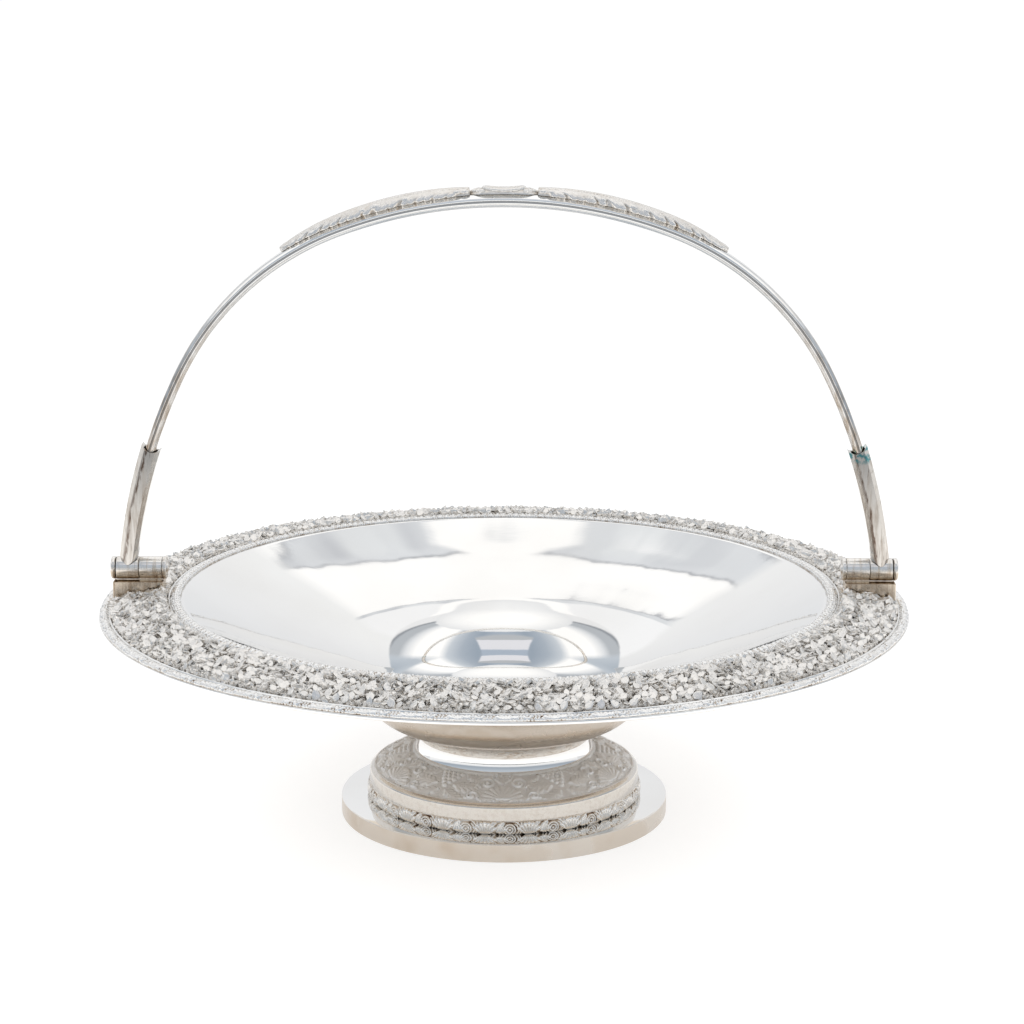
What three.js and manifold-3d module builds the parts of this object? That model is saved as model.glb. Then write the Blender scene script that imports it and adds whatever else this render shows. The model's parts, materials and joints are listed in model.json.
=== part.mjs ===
// A round silver cake basket: a spun bowl with an applied floral rim on a pedestal foot,
// and a swing handle that turns on two knuckle hinges soldered to the rim.
// Millimetres, +Z up, the origin at the centre of the plane the foot stands on.
// The hinge axis runs along X, and the handle stands upright at rest.
import * as THREE from "three";
import {
  mergeGeometries,
  mergeVertices,
  toCreasedNormals,
} from "three/addons/utils/BufferGeometryUtils.js";
import Module from "manifold-3d";

const wasm = await Module();
wasm.setup();
const deg = THREE.MathUtils.degToRad;
const along = THREE.MathUtils.lerp;

// Driving dimensions: the foot, from the table up
const PLINTH_R = 61.5;
const PLINTH_H = 6.8;
const PLINTH_SHEET = 1.2;
const PLINTH_EDGE = 0.4; // its upper edge is broken
const PLINTH_REST_W = 3.5; // turned-in edge that the basket stands on
const PLINTH_OPENING_R = 42; // the plinth is open above its hollow
const FOOT_BORDER_R = 51.8;
const FOOT_BORDER_H = 5;
const FOOT_BORDER_BELLY = 1.9; // height of its widest line
const FOOT_BORDER_TUCK = 3.2; // how far it draws in where it meets the plinth
const FOOT_BORDER_W = 6.3;
const FOOT_BORDER_CREST = 0.3; // its upper edge shows outside the flange by this
const FOOT_SHEET = 1.1;
const FLANGE_R = 50;
const FLANGE_H = 4.9;
const FLANGE_FILLET = 1.3;
const DOME_H = 7.3;
const DOME_CROWN = 0.9; // rise of the chased field above a straight cone
const DOME_TOP_R = 33.3;
const NECK_H = 9.1;
const NECK_TOP_R = 33.8;
const NECK_HOLLOW = 2.3; // depth of the polished cove
const NECK_LIP = 2; // width of its edges, which are filed to the foot and to the bowl
const DOME_LAND = 2.6; // turned-in edge of the dome that the neck stands on

// Driving dimensions: the bowl and its rim
const BOWL_SHEET = 1.2;
const BOWL_FLOOR_ARC = 120; // inside radius of the rounded bottom
const BOWL_FLOOR_ANGLE = deg(21); // where the bottom turns up into the side of the well
const WELL_ARC = 16; // inside radius of that turn
const WELL_SLOPE = deg(66); // the well's side at its steepest
const FLARE_ARC = 30; // inside radius where the side of the well opens out
const BOWL_WALL_SLOPE = deg(25);
const SHOULDER_FILLET = 1.6; // where the wall turns over into the rim
const RIM_R = 150;
const RIM_FALL = deg(9.9); // the rim slopes down outwards
const RIM_LAP = 1; // the rim joins the bowl under the inner border, this far in
const BORDER_LAND = 1.2; // bare metal inside the inner border
const INNER_BORDER_W = 3.5;
const INNER_BORDER_H = 1.5;
const WIRE_D = 1.1;
const BAND_W = 20.5;
const BAND_H = 2;
const BAND_EDGE = 0.5; // the band's rounded edges
const BLOSSOM_R = 4.7;
const BLOSSOM_NOTCH_R = 3.5; // depth of the notch between two petals
const BLOSSOM_CREST_R = 3;
const BLOSSOM_H = 1.8; // height of the petals above the band
const BLOSSOM_EYE_H = 0.5;
const BLOSSOM_ROOT = 0.2; // how deep the petals root in the band
const PETALS = 5;
const OUTER_BORDER_W = 3;
const OUTER_BORDER_H = 1.5;
const OUTER_BORDER_INSET = 0.2;

// Driving dimensions: the hinges
const BARREL_R = 4.25;
const BARREL_EDGE = 0.25;
const KNUCKLE_L = 8.4;
const KNUCKLE_GAP = 0.2; // running gap at the joint between two knuckles
const HINGE_INSET = 9.8; // from the rim's edge to the middle of the moving knuckle
const PIN_R = 1.6;
const PIN_RUN = 0.15; // radial clearance round the pin
const PIN_HEAD_T = 1.3;
const PIN_HEAD_DOME = 0.6;
const WASHER_T = 1.6;
const BRACKET_TOE = 0.6; // the wedge's inner end passes the knuckle by this
const BRACKET_HEEL = 1.2; // and its outer end passes the moving one
const BRACKET_THIN = 2.75; // height of the wedge at its inner end
const BRACKET_RUN = 0.3; // clearance under the moving knuckle
const BRACKET_NECK_W = 5;

// Driving dimensions: the handle
const HANDLE_RISE = 137.3; // from the hinge axis to the middle of the strap at its crown
const HAUNCH_R = 108.3;
const CROWN_ANGLE = deg(20.8); // where the crown arc passes into the haunch arc
const HAUNCH_ANGLE = deg(63.9); // where the haunch arc passes into the leg arc
const LEG_ANGLE = deg(84); // direction of the leg at the hinge
const STRAP_T_CROWN = 5;
const STRAP_T_END = 3.8;
const STRAP_W_CROWN = 9.6;
const STRAP_W_END = 6;
const STRAP_FACET = 0.62; // share of the strap's width that is flat on top
const STRAP_EDGE = 0.4; // share of its thickness that stands square at its edge
const ARM_L = 48; // from the hinge axis to the socket's mouth, along the leg
const ARM_T_FOOT = 6.4;
const ARM_T_MOUTH = 7.2;
const ARM_W = 8.3;
const ARM_BEVEL = 1.6;
const SOCKET_DEPTH = 22;
const SOCKET_CLEARANCE = 0.3;
const SOCKET_LIP = 0.8; // wall left at the mouth
const SOCKET_FLARE = 5; // depth over which the socket opens out
const SCOOP_R = 4.6;
const SCOOP_DEPTH = 2.4;
const SADDLE_GAP = 0.3; // solder gap between the arm and its knuckle
const TONGUE_DROP = 2.4; // how far the arm's rounded foot laps down the knuckle

// Driving dimensions: the cast mount on the crown of the handle
const CARTOUCHE_L = 23;
const CARTOUCHE_W = 11.5;
const CARTOUCHE_H = 3.2;
const SPRAY_START = 12.5; // distance along the strap from the crown
const SPRAY_L = 71;
const SPRAY_W = 11.5;
const SPRAY_H = 3.9;
const SPRAY_LOBES = 7;
const SPRAY_LOBE_DEPTH = 0.16; // share of the width between two lobes

// Clearances and facets
const SEAM = 0.1; // between neighbouring rings on the rim
const SEAT = 0.1; // under what is soldered to a curved or sloping face
const RIM_FACETS = 52;
const FOOT_FACETS = 36;
const BARREL_FACETS = 20;

// Levels and places that follow from the driving dimensions
const flangeTop = PLINTH_H + FOOT_BORDER_H + FLANGE_H;
const neckFoot = flangeTop + DOME_H;
const neckTop = neckFoot + NECK_H;
const underArc = BOWL_FLOOR_ARC + BOWL_SHEET;
const bowlUnder = neckTop + SEAT - arcRise(underArc, NECK_TOP_R);
const bowlFloor = bowlUnder + BOWL_SHEET;
const floorCentre = [0, bowlFloor + BOWL_FLOOR_ARC];
const wellCentre = onArc(floorCentre, BOWL_FLOOR_ARC - WELL_ARC, BOWL_FLOOR_ANGLE);
const flareCentre = onArc(wellCentre, WELL_ARC + FLARE_ARC, WELL_SLOPE);
const wallFoot = onArc(flareCentre, -FLARE_ARC, BOWL_WALL_SLOPE);
const outerBorderR = RIM_R - OUTER_BORDER_INSET - OUTER_BORDER_W;
const outerWireR = outerBorderR - SEAM - WIRE_D;
const bandOuterR = outerWireR - SEAM;
const bandInnerR = bandOuterR - BAND_W;
const innerWireR = bandInnerR - SEAM - WIRE_D;
const innerBorderR = innerWireR - SEAM - INNER_BORDER_W;
const shoulderR = innerBorderR - BORDER_LAND;
const shoulder = [
  shoulderR,
  wallFoot[1] + (shoulderR - wallFoot[0]) * Math.tan(BOWL_WALL_SLOPE),
];
const rimJointR = innerBorderR + RIM_LAP;

const legFootX = RIM_R - HINGE_INSET;
const movingInner = legFootX - KNUCKLE_L / 2;
const movingOuter = legFootX + KNUCKLE_L / 2;
const fixedOuter = movingInner - KNUCKLE_GAP;
const fixedInner = fixedOuter - KNUCKLE_L;
const washerInner = fixedInner - WASHER_T;
const bracketInner = fixedInner - BRACKET_TOE;
const bracketOuter = movingOuter + BRACKET_HEEL;
const boreR = (PIN_R + PIN_RUN) / Math.cos(Math.PI / BARREL_FACETS);
const bracketTop = rimZ(bracketInner, BAND_H + 2 * SEAT) + BRACKET_THIN;
const axisZ = bracketTop + BRACKET_RUN + BARREL_R;
const arch = archRadii();

// Height gained by an arc of the given radius that starts level on the axis, at radius r
function arcRise(radius, r) {
  return radius - Math.sqrt(radius * radius - r * r);
}

// Height of the rim's upper face at radius r, with something of the given height on it
function rimZ(r, height = 0) {
  return shoulder[1] - (r - shoulderR) * Math.tan(RIM_FALL) + height;
}

// Height of its underside
function rimUnder(r) {
  return rimZ(r) - BOWL_SHEET / Math.cos(RIM_FALL);
}

// Flat outlines are lists of [r, z] points. On an arc the angle is the slope there,
// and a negative radius puts the centre below the arc.
function onArc(centre, radius, angle) {
  return [centre[0] + radius * Math.sin(angle), centre[1] - radius * Math.cos(angle)];
}

function arc(centre, radius, from, to, steps) {
  return Array.from({ length: steps + 1 }, (_, i) => onArc(centre, radius, along(from, to, i / steps)));
}

// An arc through two points that stands off their chord by sagitta, to the left of the way from a to b
function bow(a, b, sagitta, steps) {
  const chord = new THREE.Vector2(b[0] - a[0], b[1] - a[1]);
  const half = chord.length() / 2;
  const radius = (half * half + sagitta * sagitta) / (2 * sagitta);
  const sweep = Math.asin(half / radius);
  const way = chord.clone().normalize();
  const left = new THREE.Vector2(-way.y, way.x);
  return Array.from({ length: steps + 1 }, (_, i) => {
    const t = along(-sweep, sweep, i / steps);
    const out = radius * Math.cos(t) - (radius - sagitta);
    return [
      a[0] + way.x * (half + radius * Math.sin(t)) + left.x * out,
      a[1] + way.y * (half + radius * Math.sin(t)) + left.y * out,
    ];
  });
}

// The path moved sideways by distance, to the right of its way, with mitred corners
function offsetPath(path, distance) {
  const sides = path.slice(1).map((p, i) => {
    const dx = p[0] - path[i][0];
    const dy = p[1] - path[i][1];
    const length = Math.hypot(dx, dy);
    return [dy / length, -dx / length];
  });
  return path.map((p, i) => {
    const a = sides[Math.max(i - 1, 0)];
    const b = sides[Math.min(i, sides.length - 1)];
    const scale = distance / (1 + a[0] * b[0] + a[1] * b[1]);
    return [p[0] === 0 ? 0 : p[0] + (a[0] + b[0]) * scale, p[1] + (a[1] + b[1]) * scale];
  });
}

// The path with its corner at the given place rounded to radius
function roundCorner(path, index, radius, steps = 3) {
  const corner = new THREE.Vector2(...path[index]);
  const back = new THREE.Vector2(...path[index - 1]).sub(corner).normalize();
  const on = new THREE.Vector2(...path[index + 1]).sub(corner).normalize();
  const halfAngle = Math.acos(back.dot(on)) / 2;
  const reach = radius / Math.tan(halfAngle);
  const start = corner.clone().addScaledVector(back, reach);
  const end = corner.clone().addScaledVector(on, reach);
  const rounding = new THREE.QuadraticBezierCurve(start, corner, end).getPoints(steps);
  return [...path.slice(0, index), ...rounding.map((p) => [p.x, p.y]), ...path.slice(index + 1)];
}

// Solids and meshes
function solid(geometry) {
  geometry.deleteAttribute("normal");
  geometry.deleteAttribute("uv");
  const merged = mergeVertices(geometry, 1e-4);
  const corners = merged.index.array;
  const kept = [];
  for (let i = 0; i < corners.length; i += 3) {
    const [a, b, c] = corners.slice(i, i + 3);
    if (a !== b && b !== c && c !== a) kept.push(a, b, c);
  }
  const parts = { numProp: 3, vertProperties: merged.attributes.position.array };
  const made = new wasm.Manifold(new wasm.Mesh({ ...parts, triVerts: new Uint32Array(kept) }));
  if (made.volume() > 0) return made;
  for (let i = 0; i < kept.length; i += 3) [kept[i], kept[i + 1]] = [kept[i + 1], kept[i]];
  return new wasm.Manifold(new wasm.Mesh({ ...parts, triVerts: new Uint32Array(kept) }));
}

function mesh(name, made, material) {
  const { vertProperties, triVerts } = made.getMesh();
  const geometry = new THREE.BufferGeometry();
  geometry.setAttribute("position", new THREE.BufferAttribute(vertProperties, 3));
  geometry.setIndex(new THREE.BufferAttribute(triVerts, 1));
  const part = new THREE.Mesh(toCreasedNormals(geometry, deg(35)), material.clone());
  part.name = name;
  return part;
}

// A closed outline, or one that starts and ends on the axis, turned round Z
function turned(outline, facets) {
  const closes = outline[0][0] === 0 && outline.at(-1)[0] === 0;
  const loop = closes ? outline : [...outline, outline[0]];
  const lathe = new THREE.LatheGeometry(
    loop.map(([r, z]) => new THREE.Vector2(r, z)),
    facets,
  );
  return solid(lathe.rotateX(Math.PI / 2));
}

// The same round X, for what lies on the hinge axis: the outline is a list of [r, x] points
function turnedOnAxis(outline) {
  const closes = outline[0][0] === 0 && outline.at(-1)[0] === 0;
  const loop = closes ? outline : [...outline, outline[0]];
  const lathe = new THREE.LatheGeometry(
    loop.map(([r, x]) => new THREE.Vector2(r, x)),
    BARREL_FACETS,
  );
  return solid(lathe.rotateZ(-Math.PI / 2));
}

// A skin over equal rings of points, closed by a fan at each end
function loft(rings) {
  const count = rings[0].length;
  const positions = rings.flat().flatMap((p) => [p.x, p.y, p.z]);
  const index = [];
  for (let k = 0; k + 1 < rings.length; k++)
    for (let i = 0; i < count; i++) {
      const a = k * count + i;
      const b = k * count + ((i + 1) % count);
      index.push(a, b, b + count, a, b + count, a + count);
    }
  const last = (rings.length - 1) * count;
  for (let i = 1; i + 1 < count; i++) {
    index.push(0, i + 1, i);
    index.push(last, last + i, last + i + 1);
  }
  const geometry = new THREE.BufferGeometry();
  geometry.setAttribute("position", new THREE.Float32BufferAttribute(positions, 3));
  geometry.setIndex(index);
  return solid(geometry);
}

// A block across the hinge, from an outline of [x, z] points
function acrossY(outline, width) {
  const shape = new THREE.Shape(outline.map(([x, z]) => new THREE.Vector2(x, z)));
  const block = new THREE.ExtrudeGeometry(shape, { depth: width, bevelEnabled: false });
  return solid(block.translate(0, 0, -width / 2).rotateX(Math.PI / 2));
}

// The foot
function basePlinth() {
  const rest = PLINTH_R - PLINTH_REST_W;
  const wall = PLINTH_R - PLINTH_SHEET;
  const outline = [
    [rest, 0],
    [PLINTH_R, 0],
    [PLINTH_R, PLINTH_H - PLINTH_EDGE],
    [PLINTH_R - PLINTH_EDGE, PLINTH_H],
    [PLINTH_OPENING_R, PLINTH_H],
    [PLINTH_OPENING_R, PLINTH_H - PLINTH_SHEET],
    [wall, PLINTH_H - PLINTH_SHEET],
    [wall, PLINTH_SHEET],
    [rest, PLINTH_SHEET],
  ];
  return turned(outline, FOOT_FACETS);
}

function footBorder() {
  const top = PLINTH_H + FOOT_BORDER_H;
  const seatR = FOOT_BORDER_R - FOOT_BORDER_TUCK;
  const bore = FOOT_BORDER_R - FOOT_BORDER_W;
  const crestR = FLANGE_R + FOOT_BORDER_CREST;
  const belly = new THREE.Vector2(FOOT_BORDER_R, PLINTH_H + FOOT_BORDER_BELLY);
  const below = new THREE.QuadraticBezierCurve(
    new THREE.Vector2(seatR, PLINTH_H),
    new THREE.Vector2(FOOT_BORDER_R, PLINTH_H),
    belly,
  );
  const above = new THREE.QuadraticBezierCurve(
    belly,
    new THREE.Vector2(FOOT_BORDER_R, top),
    new THREE.Vector2(crestR, top),
  );
  const bulge = [...below.getPoints(2), ...above.getPoints(3).slice(1)].map((p) => [p.x, p.y]);
  return turned([[bore, PLINTH_H], ...bulge, [bore, top]], FOOT_FACETS);
}

// Spun in one sheet: an upright flange, the crowned field that carries the chasing,
// and a flat land for the neck
function footDome() {
  const foot = [FLANGE_R, PLINTH_H + FOOT_BORDER_H];
  const domeFoot = [FLANGE_R, flangeTop];
  const domeTop = [DOME_TOP_R, neckFoot];
  const land = [DOME_TOP_R - DOME_LAND, neckFoot];
  const face = (steps) => [foot, ...bow(domeFoot, domeTop, -DOME_CROWN, steps), land];
  const outside = roundCorner(face(3), 1, FLANGE_FILLET, 2);
  const inside = offsetPath(face(2), -FOOT_SHEET);
  return turned([...outside, ...inside.reverse()], FOOT_FACETS);
}

// The polished cove that carries the bowl
function footNeck() {
  const foot = [DOME_TOP_R, neckFoot + SEAT];
  const top = [NECK_TOP_R, neckTop];
  const outside = bow(foot, top, NECK_HOLLOW, 4);
  const filed = (r) => bowlUnder - SEAT + arcRise(underArc, r);
  const hollow = offsetPath(bow(foot, top, NECK_HOLLOW, 3), -FOOT_SHEET);
  const inside = hollow.map(([r, z]) => [r, Math.min(z, filed(r))]);
  const lipR = NECK_TOP_R - NECK_LIP;
  inside[0] = [DOME_TOP_R - NECK_LIP, foot[1]];
  inside[inside.length - 1] = [lipR, filed(lipR)];
  return turned([...outside, ...inside.reverse()], FOOT_FACETS);
}

// The bottom, the well's side and its flare are tangent arcs. The sheet's two faces share their centres.
function bowlFace(sheet, [floorSteps, wellSteps, flareSteps]) {
  const floor = arc(floorCentre, BOWL_FLOOR_ARC + sheet, 0, BOWL_FLOOR_ANGLE, floorSteps);
  const well = arc(wellCentre, WELL_ARC + sheet, BOWL_FLOOR_ANGLE, WELL_SLOPE, wellSteps);
  const flare = arc(flareCentre, sheet - FLARE_ARC, WELL_SLOPE, BOWL_WALL_SLOPE, flareSteps);
  return [...floor, ...well.slice(1), ...flare.slice(1)];
}

// The bowl is spun in one sheet, and its edge is turned over to meet the rim
function bowl() {
  const edgeR = rimJointR - SEAM;
  const edge = [edgeR, rimZ(edgeR)];
  const underShoulder = offsetPath([wallFoot, shoulder, edge], BOWL_SHEET)[1];
  const inside = [...bowlFace(0, [3, 3, 2]), shoulder, edge];
  const outside = [...bowlFace(BOWL_SHEET, [4, 3, 2]), underShoulder, [edgeR, rimUnder(edgeR)]];
  const upper = roundCorner(inside, inside.length - 2, SHOULDER_FILLET, 2);
  const lower = roundCorner(outside, outside.length - 2, SHOULDER_FILLET + BOWL_SHEET, 2);
  return turned([...upper, ...lower.reverse()], RIM_FACETS);
}

// The sloping flange that carries the ornament
function rimFlange() {
  const outline = [
    [rimJointR, rimUnder(rimJointR)],
    [RIM_R, rimUnder(RIM_R)],
    [RIM_R, rimZ(RIM_R)],
    [rimJointR, rimZ(rimJointR)],
  ];
  return turned(outline, RIM_FACETS);
}

// A moulding of half-round section on the rim
function rimMoulding(innerR, width, height, steps) {
  const seat = Array.from({ length: steps + 1 }, (_, i) => {
    const t = (Math.PI * i) / steps;
    const r = innerR + (width / 2) * (1 - Math.cos(t));
    return [r, rimZ(r, SEAT + height * Math.sin(t))];
  });
  return turned(seat, RIM_FACETS);
}

function floralBand() {
  const place = (r, height) => [r, rimZ(r, SEAT + height)];
  const low = BAND_H - BAND_EDGE;
  const outline = [
    place(bandInnerR, 0),
    place(bandInnerR, low),
    place(bandInnerR + BAND_EDGE, BAND_H),
    place(bandOuterR - BAND_EDGE, BAND_H),
    place(bandOuterR, low),
    place(bandOuterR, 0),
  ];
  return turned(outline, RIM_FACETS).add(solid(mergeGeometries(blossoms())));
}

// Blossoms in two staggered rows, one on every facet of the band, but none under the hinges
function blossoms() {
  const room = BLOSSOM_R + BAND_EDGE;
  const keepOff = BARREL_R + BLOSSOM_R + SEAT;
  const made = [];
  for (let i = 0; i < RIM_FACETS; i++) {
    const angle = (2 * Math.PI * (i + 0.5)) / RIM_FACETS;
    const r = i % 2 ? bandInnerR + room : bandOuterR - room;
    if (Math.abs(r * Math.sin(angle)) < keepOff) continue;
    made.push(blossom().applyMatrix4(onRim(r, angle, BAND_H + SEAT)));
  }
  return made;
}

// Moves a thing from the origin onto the rim's slope
function onRim(r, angle, height) {
  const place = new THREE.Matrix4().makeTranslation(r, 0, rimZ(r, height));
  const turn = new THREE.Matrix4().makeRotationZ(angle);
  return turn.multiply(place).multiply(new THREE.Matrix4().makeRotationY(RIM_FALL));
}

// Petals with a raised crest round a sunk eye
function blossom() {
  const ring = (r, z, shift) =>
    Array.from({ length: PETALS }, (_, i) => {
      const a = (2 * Math.PI * (i + shift)) / PETALS;
      return [r * Math.cos(a), r * Math.sin(a), z];
    });
  const rings = [
    ring(BLOSSOM_CREST_R, BLOSSOM_H, 0),
    ring(BLOSSOM_R, -BLOSSOM_ROOT, 0),
    ring(BLOSSOM_NOTCH_R, -BLOSSOM_ROOT, 0.5),
  ];
  const corners = [...rings.flat(), [0, 0, BLOSSOM_EYE_H], [0, 0, -BLOSSOM_ROOT]];
  const [eye, root] = [3 * PETALS, 3 * PETALS + 1];
  const index = [];
  for (let i = 0; i < PETALS; i++) {
    const next = (i + 1) % PETALS;
    const [crest, tip, notch] = [i, PETALS + i, 2 * PETALS + i];
    const before = 2 * PETALS + ((i + PETALS - 1) % PETALS);
    index.push(crest, tip, notch, crest, before, tip);
    index.push(crest, notch, next, eye, crest, next);
    index.push(root, notch, tip, root, tip, before);
  }
  const geometry = new THREE.BufferGeometry();
  geometry.setAttribute("position", new THREE.Float32BufferAttribute(corners.flat(), 3));
  return geometry.setIndex(index);
}

// The hinge on the +X side, with the hinge axis at z = 0
function knuckle(from, to) {
  return turnedOnAxis([
    [boreR, from],
    [BARREL_R - BARREL_EDGE, from],
    [BARREL_R, from + BARREL_EDGE],
    [BARREL_R, to - BARREL_EDGE],
    [BARREL_R - BARREL_EDGE, to],
    [boreR, to],
  ]);
}

// A wedge soldered level on the sloping rim, with the fixed knuckle on a narrow neck
function hingeBracket() {
  const foot = (x) => rimZ(x, BAND_H + 2 * SEAT) - axisZ;
  const top = bracketTop - axisZ;
  const wedge = acrossY(
    [
      [bracketInner, foot(bracketInner)],
      [bracketOuter, foot(bracketOuter)],
      [bracketOuter, top],
      [bracketInner, top],
    ],
    2 * BARREL_R,
  );
  const neckRise = -(boreR + BARREL_R) / 2;
  const neck = acrossY(
    [
      [fixedInner, top - BRACKET_RUN],
      [fixedOuter, top - BRACKET_RUN],
      [fixedOuter, neckRise],
      [fixedInner, neckRise],
    ],
    BRACKET_NECK_W,
  );
  return wedge.add(neck).add(knuckle(fixedInner, fixedOuter));
}

// The pin's domed head closes the hinge outside, and its other end is riveted over the washer
function hingePin() {
  const head = movingOuter + KNUCKLE_GAP;
  const rim = head + PIN_HEAD_T;
  const steps = 3;
  const dome = Array.from({ length: steps }, (_, i) => {
    const t = (Math.PI / 2) * (i / steps);
    return [BARREL_R * Math.cos(t), rim + PIN_HEAD_DOME * Math.sin(t)];
  });
  return turnedOnAxis([
    [0, washerInner - PIN_HEAD_DOME],
    [PIN_R / 2, washerInner - PIN_HEAD_DOME],
    [PIN_R, washerInner],
    [PIN_R, head],
    [BARREL_R - BARREL_EDGE, head],
    [BARREL_R, head + BARREL_EDGE],
    ...dome,
    [0, rim + PIN_HEAD_DOME],
  ]);
}

function hingeWasher() {
  const outer = fixedInner - SEAM;
  return turnedOnAxis([
    [boreR, washerInner],
    [BARREL_R - 2 * BARREL_EDGE, washerInner],
    [BARREL_R, washerInner + 2 * BARREL_EDGE],
    [BARREL_R, outer],
    [boreR, outer],
  ]);
}

// The handle's middle line is an arch of three arcs a side, tangent where they meet.
// The crown and leg radii follow from its span, its rise and the haunch radius.
function archRadii() {
  const [s1, s2, s3] = [CROWN_ANGLE, HAUNCH_ANGLE, LEG_ANGLE].map(Math.sin);
  const [c1, c2, c3] = [CROWN_ANGLE, HAUNCH_ANGLE, LEG_ANGLE].map(Math.cos);
  const span = legFootX - HAUNCH_R * (s2 - s1);
  const rise = HANDLE_RISE - HAUNCH_R * (c1 - c2);
  const spread = s1 * (c2 - c3) - (s3 - s2) * (1 - c1);
  return {
    crown: (span * (c2 - c3) - rise * (s3 - s2)) / spread,
    leg: (s1 * rise - (1 - c1) * span) / spread,
  };
}

const crownLength = arch.crown * CROWN_ANGLE;
const haunchLength = crownLength + HAUNCH_R * (HAUNCH_ANGLE - CROWN_ANGLE);
const legLength = haunchLength + arch.leg * (LEG_ANGLE - HAUNCH_ANGLE);

// The middle line at a distance along it from the crown, and the way out from it
function onArch(distance) {
  const s = Math.abs(distance);
  const side = Math.sign(distance) || 1;
  let x = 0;
  let z = HANDLE_RISE;
  let angle = 0;
  const arcs = [
    [arch.crown, Math.min(s, crownLength)],
    [HAUNCH_R, Math.min(s, haunchLength) - crownLength],
    [arch.leg, s - haunchLength],
  ];
  for (const [radius, length] of arcs) {
    if (length <= 0) break;
    const next = angle + length / radius;
    x += radius * (Math.sin(next) - Math.sin(angle));
    z -= radius * (Math.cos(angle) - Math.cos(next));
    angle = next;
  }
  return {
    middle: new THREE.Vector3(side * x, 0, z),
    out: new THREE.Vector3(side * Math.sin(angle), 0, Math.cos(angle)),
  };
}

// A section across the arch: pairs of [share of half width, share of half thickness]
function archRing(distance, section, width, thickness, lift = 0) {
  const { middle, out } = onArch(distance);
  return section.map(([u, v]) => {
    const p = middle.clone().addScaledVector(out, lift + (v * thickness) / 2);
    return p.setY((u * width) / 2);
  });
}

function mirroredQuarter(corner) {
  const upper = [...corner, ...corner.map(([u, v]) => [-u, v]).reverse()];
  return [...upper, ...upper.map(([u, v]) => [-u, -v])];
}

const strapSection = mirroredQuarter([
  [1, STRAP_EDGE],
  [STRAP_FACET, 1],
]);

function strapSize(distance) {
  const t = Math.min(Math.abs(distance) / (legLength - ARM_L), 1);
  return {
    width: along(STRAP_W_CROWN, STRAP_W_END, t),
    thickness: along(STRAP_T_CROWN, STRAP_T_END, t),
  };
}

function handleStrap() {
  const end = legLength - ARM_L + SOCKET_DEPTH - 2 * SOCKET_CLEARANCE;
  const steps = 36;
  return loft(
    Array.from({ length: steps + 1 }, (_, i) => {
      const s = along(-end, end, i / steps);
      const { width, thickness } = strapSize(s);
      return archRing(s, strapSection, width, thickness);
    }),
  );
}

// A bevelled tube that follows the leg: a rounded foot that saddles the knuckle,
// a socket for the strap, and a scooped mouth
function handleArm() {
  const mouth = legLength - ARM_L;
  const section = mirroredQuarter([
    [1, 1 - (2 * ARM_BEVEL) / ARM_T_MOUTH],
    [1 - (2 * ARM_BEVEL) / ARM_W, 1],
  ]);
  const toeLength = ARM_T_FOOT / 2;
  const toe = legLength - BARREL_R + TONGUE_DROP;
  const steps = 8;
  const body = Array.from({ length: steps + 1 }, (_, i) => {
    const s = along(mouth, toe - toeLength, i / steps);
    return archRing(s, section, ARM_W, along(ARM_T_MOUTH, ARM_T_FOOT, i / steps));
  });
  const rounded = [0.3, 0.55, 0.75, 0.9, 0.985].map((t) =>
    archRing(toe - toeLength * (1 - t), section, ARM_W, ARM_T_FOOT * Math.sqrt(1 - t * t)),
  );
  return loft([...body, ...rounded])
    .subtract(socket(mouth))
    .subtract(scoop(mouth))
    .subtract(saddle());
}

function socket(mouth) {
  const { width, thickness } = strapSize(mouth);
  const fit = 2 * SOCKET_CLEARANCE;
  const deep = [width + fit, thickness + fit];
  const open = [ARM_W - 2 * SOCKET_LIP, ARM_T_MOUTH - 2 * SOCKET_LIP];
  const stations = [
    [mouth - 1, open],
    [mouth, open],
    [mouth + SOCKET_FLARE, deep],
    [mouth + (SOCKET_FLARE + SOCKET_DEPTH) / 2, deep],
    [mouth + SOCKET_DEPTH, deep],
  ];
  return loft(stations.map(([s, size]) => archRing(s, strapSection, ...size)));
}

// A round cutter across the mouth, which leaves its two sides standing as points
function scoop(mouth) {
  const { middle, out } = onArch(mouth + SCOOP_DEPTH - SCOOP_R);
  const cutter = new THREE.CylinderGeometry(SCOOP_R, SCOOP_R, 2 * ARM_W, BARREL_FACETS);
  cutter.rotateY(Math.atan2(out.x, out.z));
  return solid(cutter.translate(middle.x, middle.y, middle.z));
}

function saddle() {
  const r = (BARREL_R + SADDLE_GAP) / Math.cos(Math.PI / BARREL_FACETS);
  const reach = [movingInner - ARM_T_FOOT, movingOuter + ARM_T_FOOT];
  return turnedOnAxis([
    [0, reach[0]],
    [r, reach[0]],
    [r, reach[1]],
    [0, reach[1]],
  ]);
}

// The cast mount: a low domed section whose edges swell and draw in like leaf lobes
const castSection = [
  [1, 0],
  [0.92, 0.34],
  [0.66, 0.72],
  [0.25, 1],
  [-0.25, 1],
  [-0.66, 0.72],
  [-0.92, 0.34],
  [-1, 0],
];

function castRing(distance, width, height) {
  const lift = strapSize(distance).thickness / 2 + SEAT;
  return archRing(distance, castSection, width, 2 * height, lift);
}

function handleSpray() {
  const steps = 3 * SPRAY_LOBES;
  return loft(
    Array.from({ length: steps + 1 }, (_, i) => {
      const t = i / steps;
      const swell = Math.sin(Math.PI * along(0.14, 0.96, t)) ** 0.45;
      const lobe = 1 - SPRAY_LOBE_DEPTH * Math.abs(Math.cos(Math.PI * SPRAY_LOBES * t));
      return castRing(SPRAY_START + SPRAY_L * t, SPRAY_W * swell * lobe, SPRAY_H * swell * lobe);
    }),
  );
}

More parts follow.
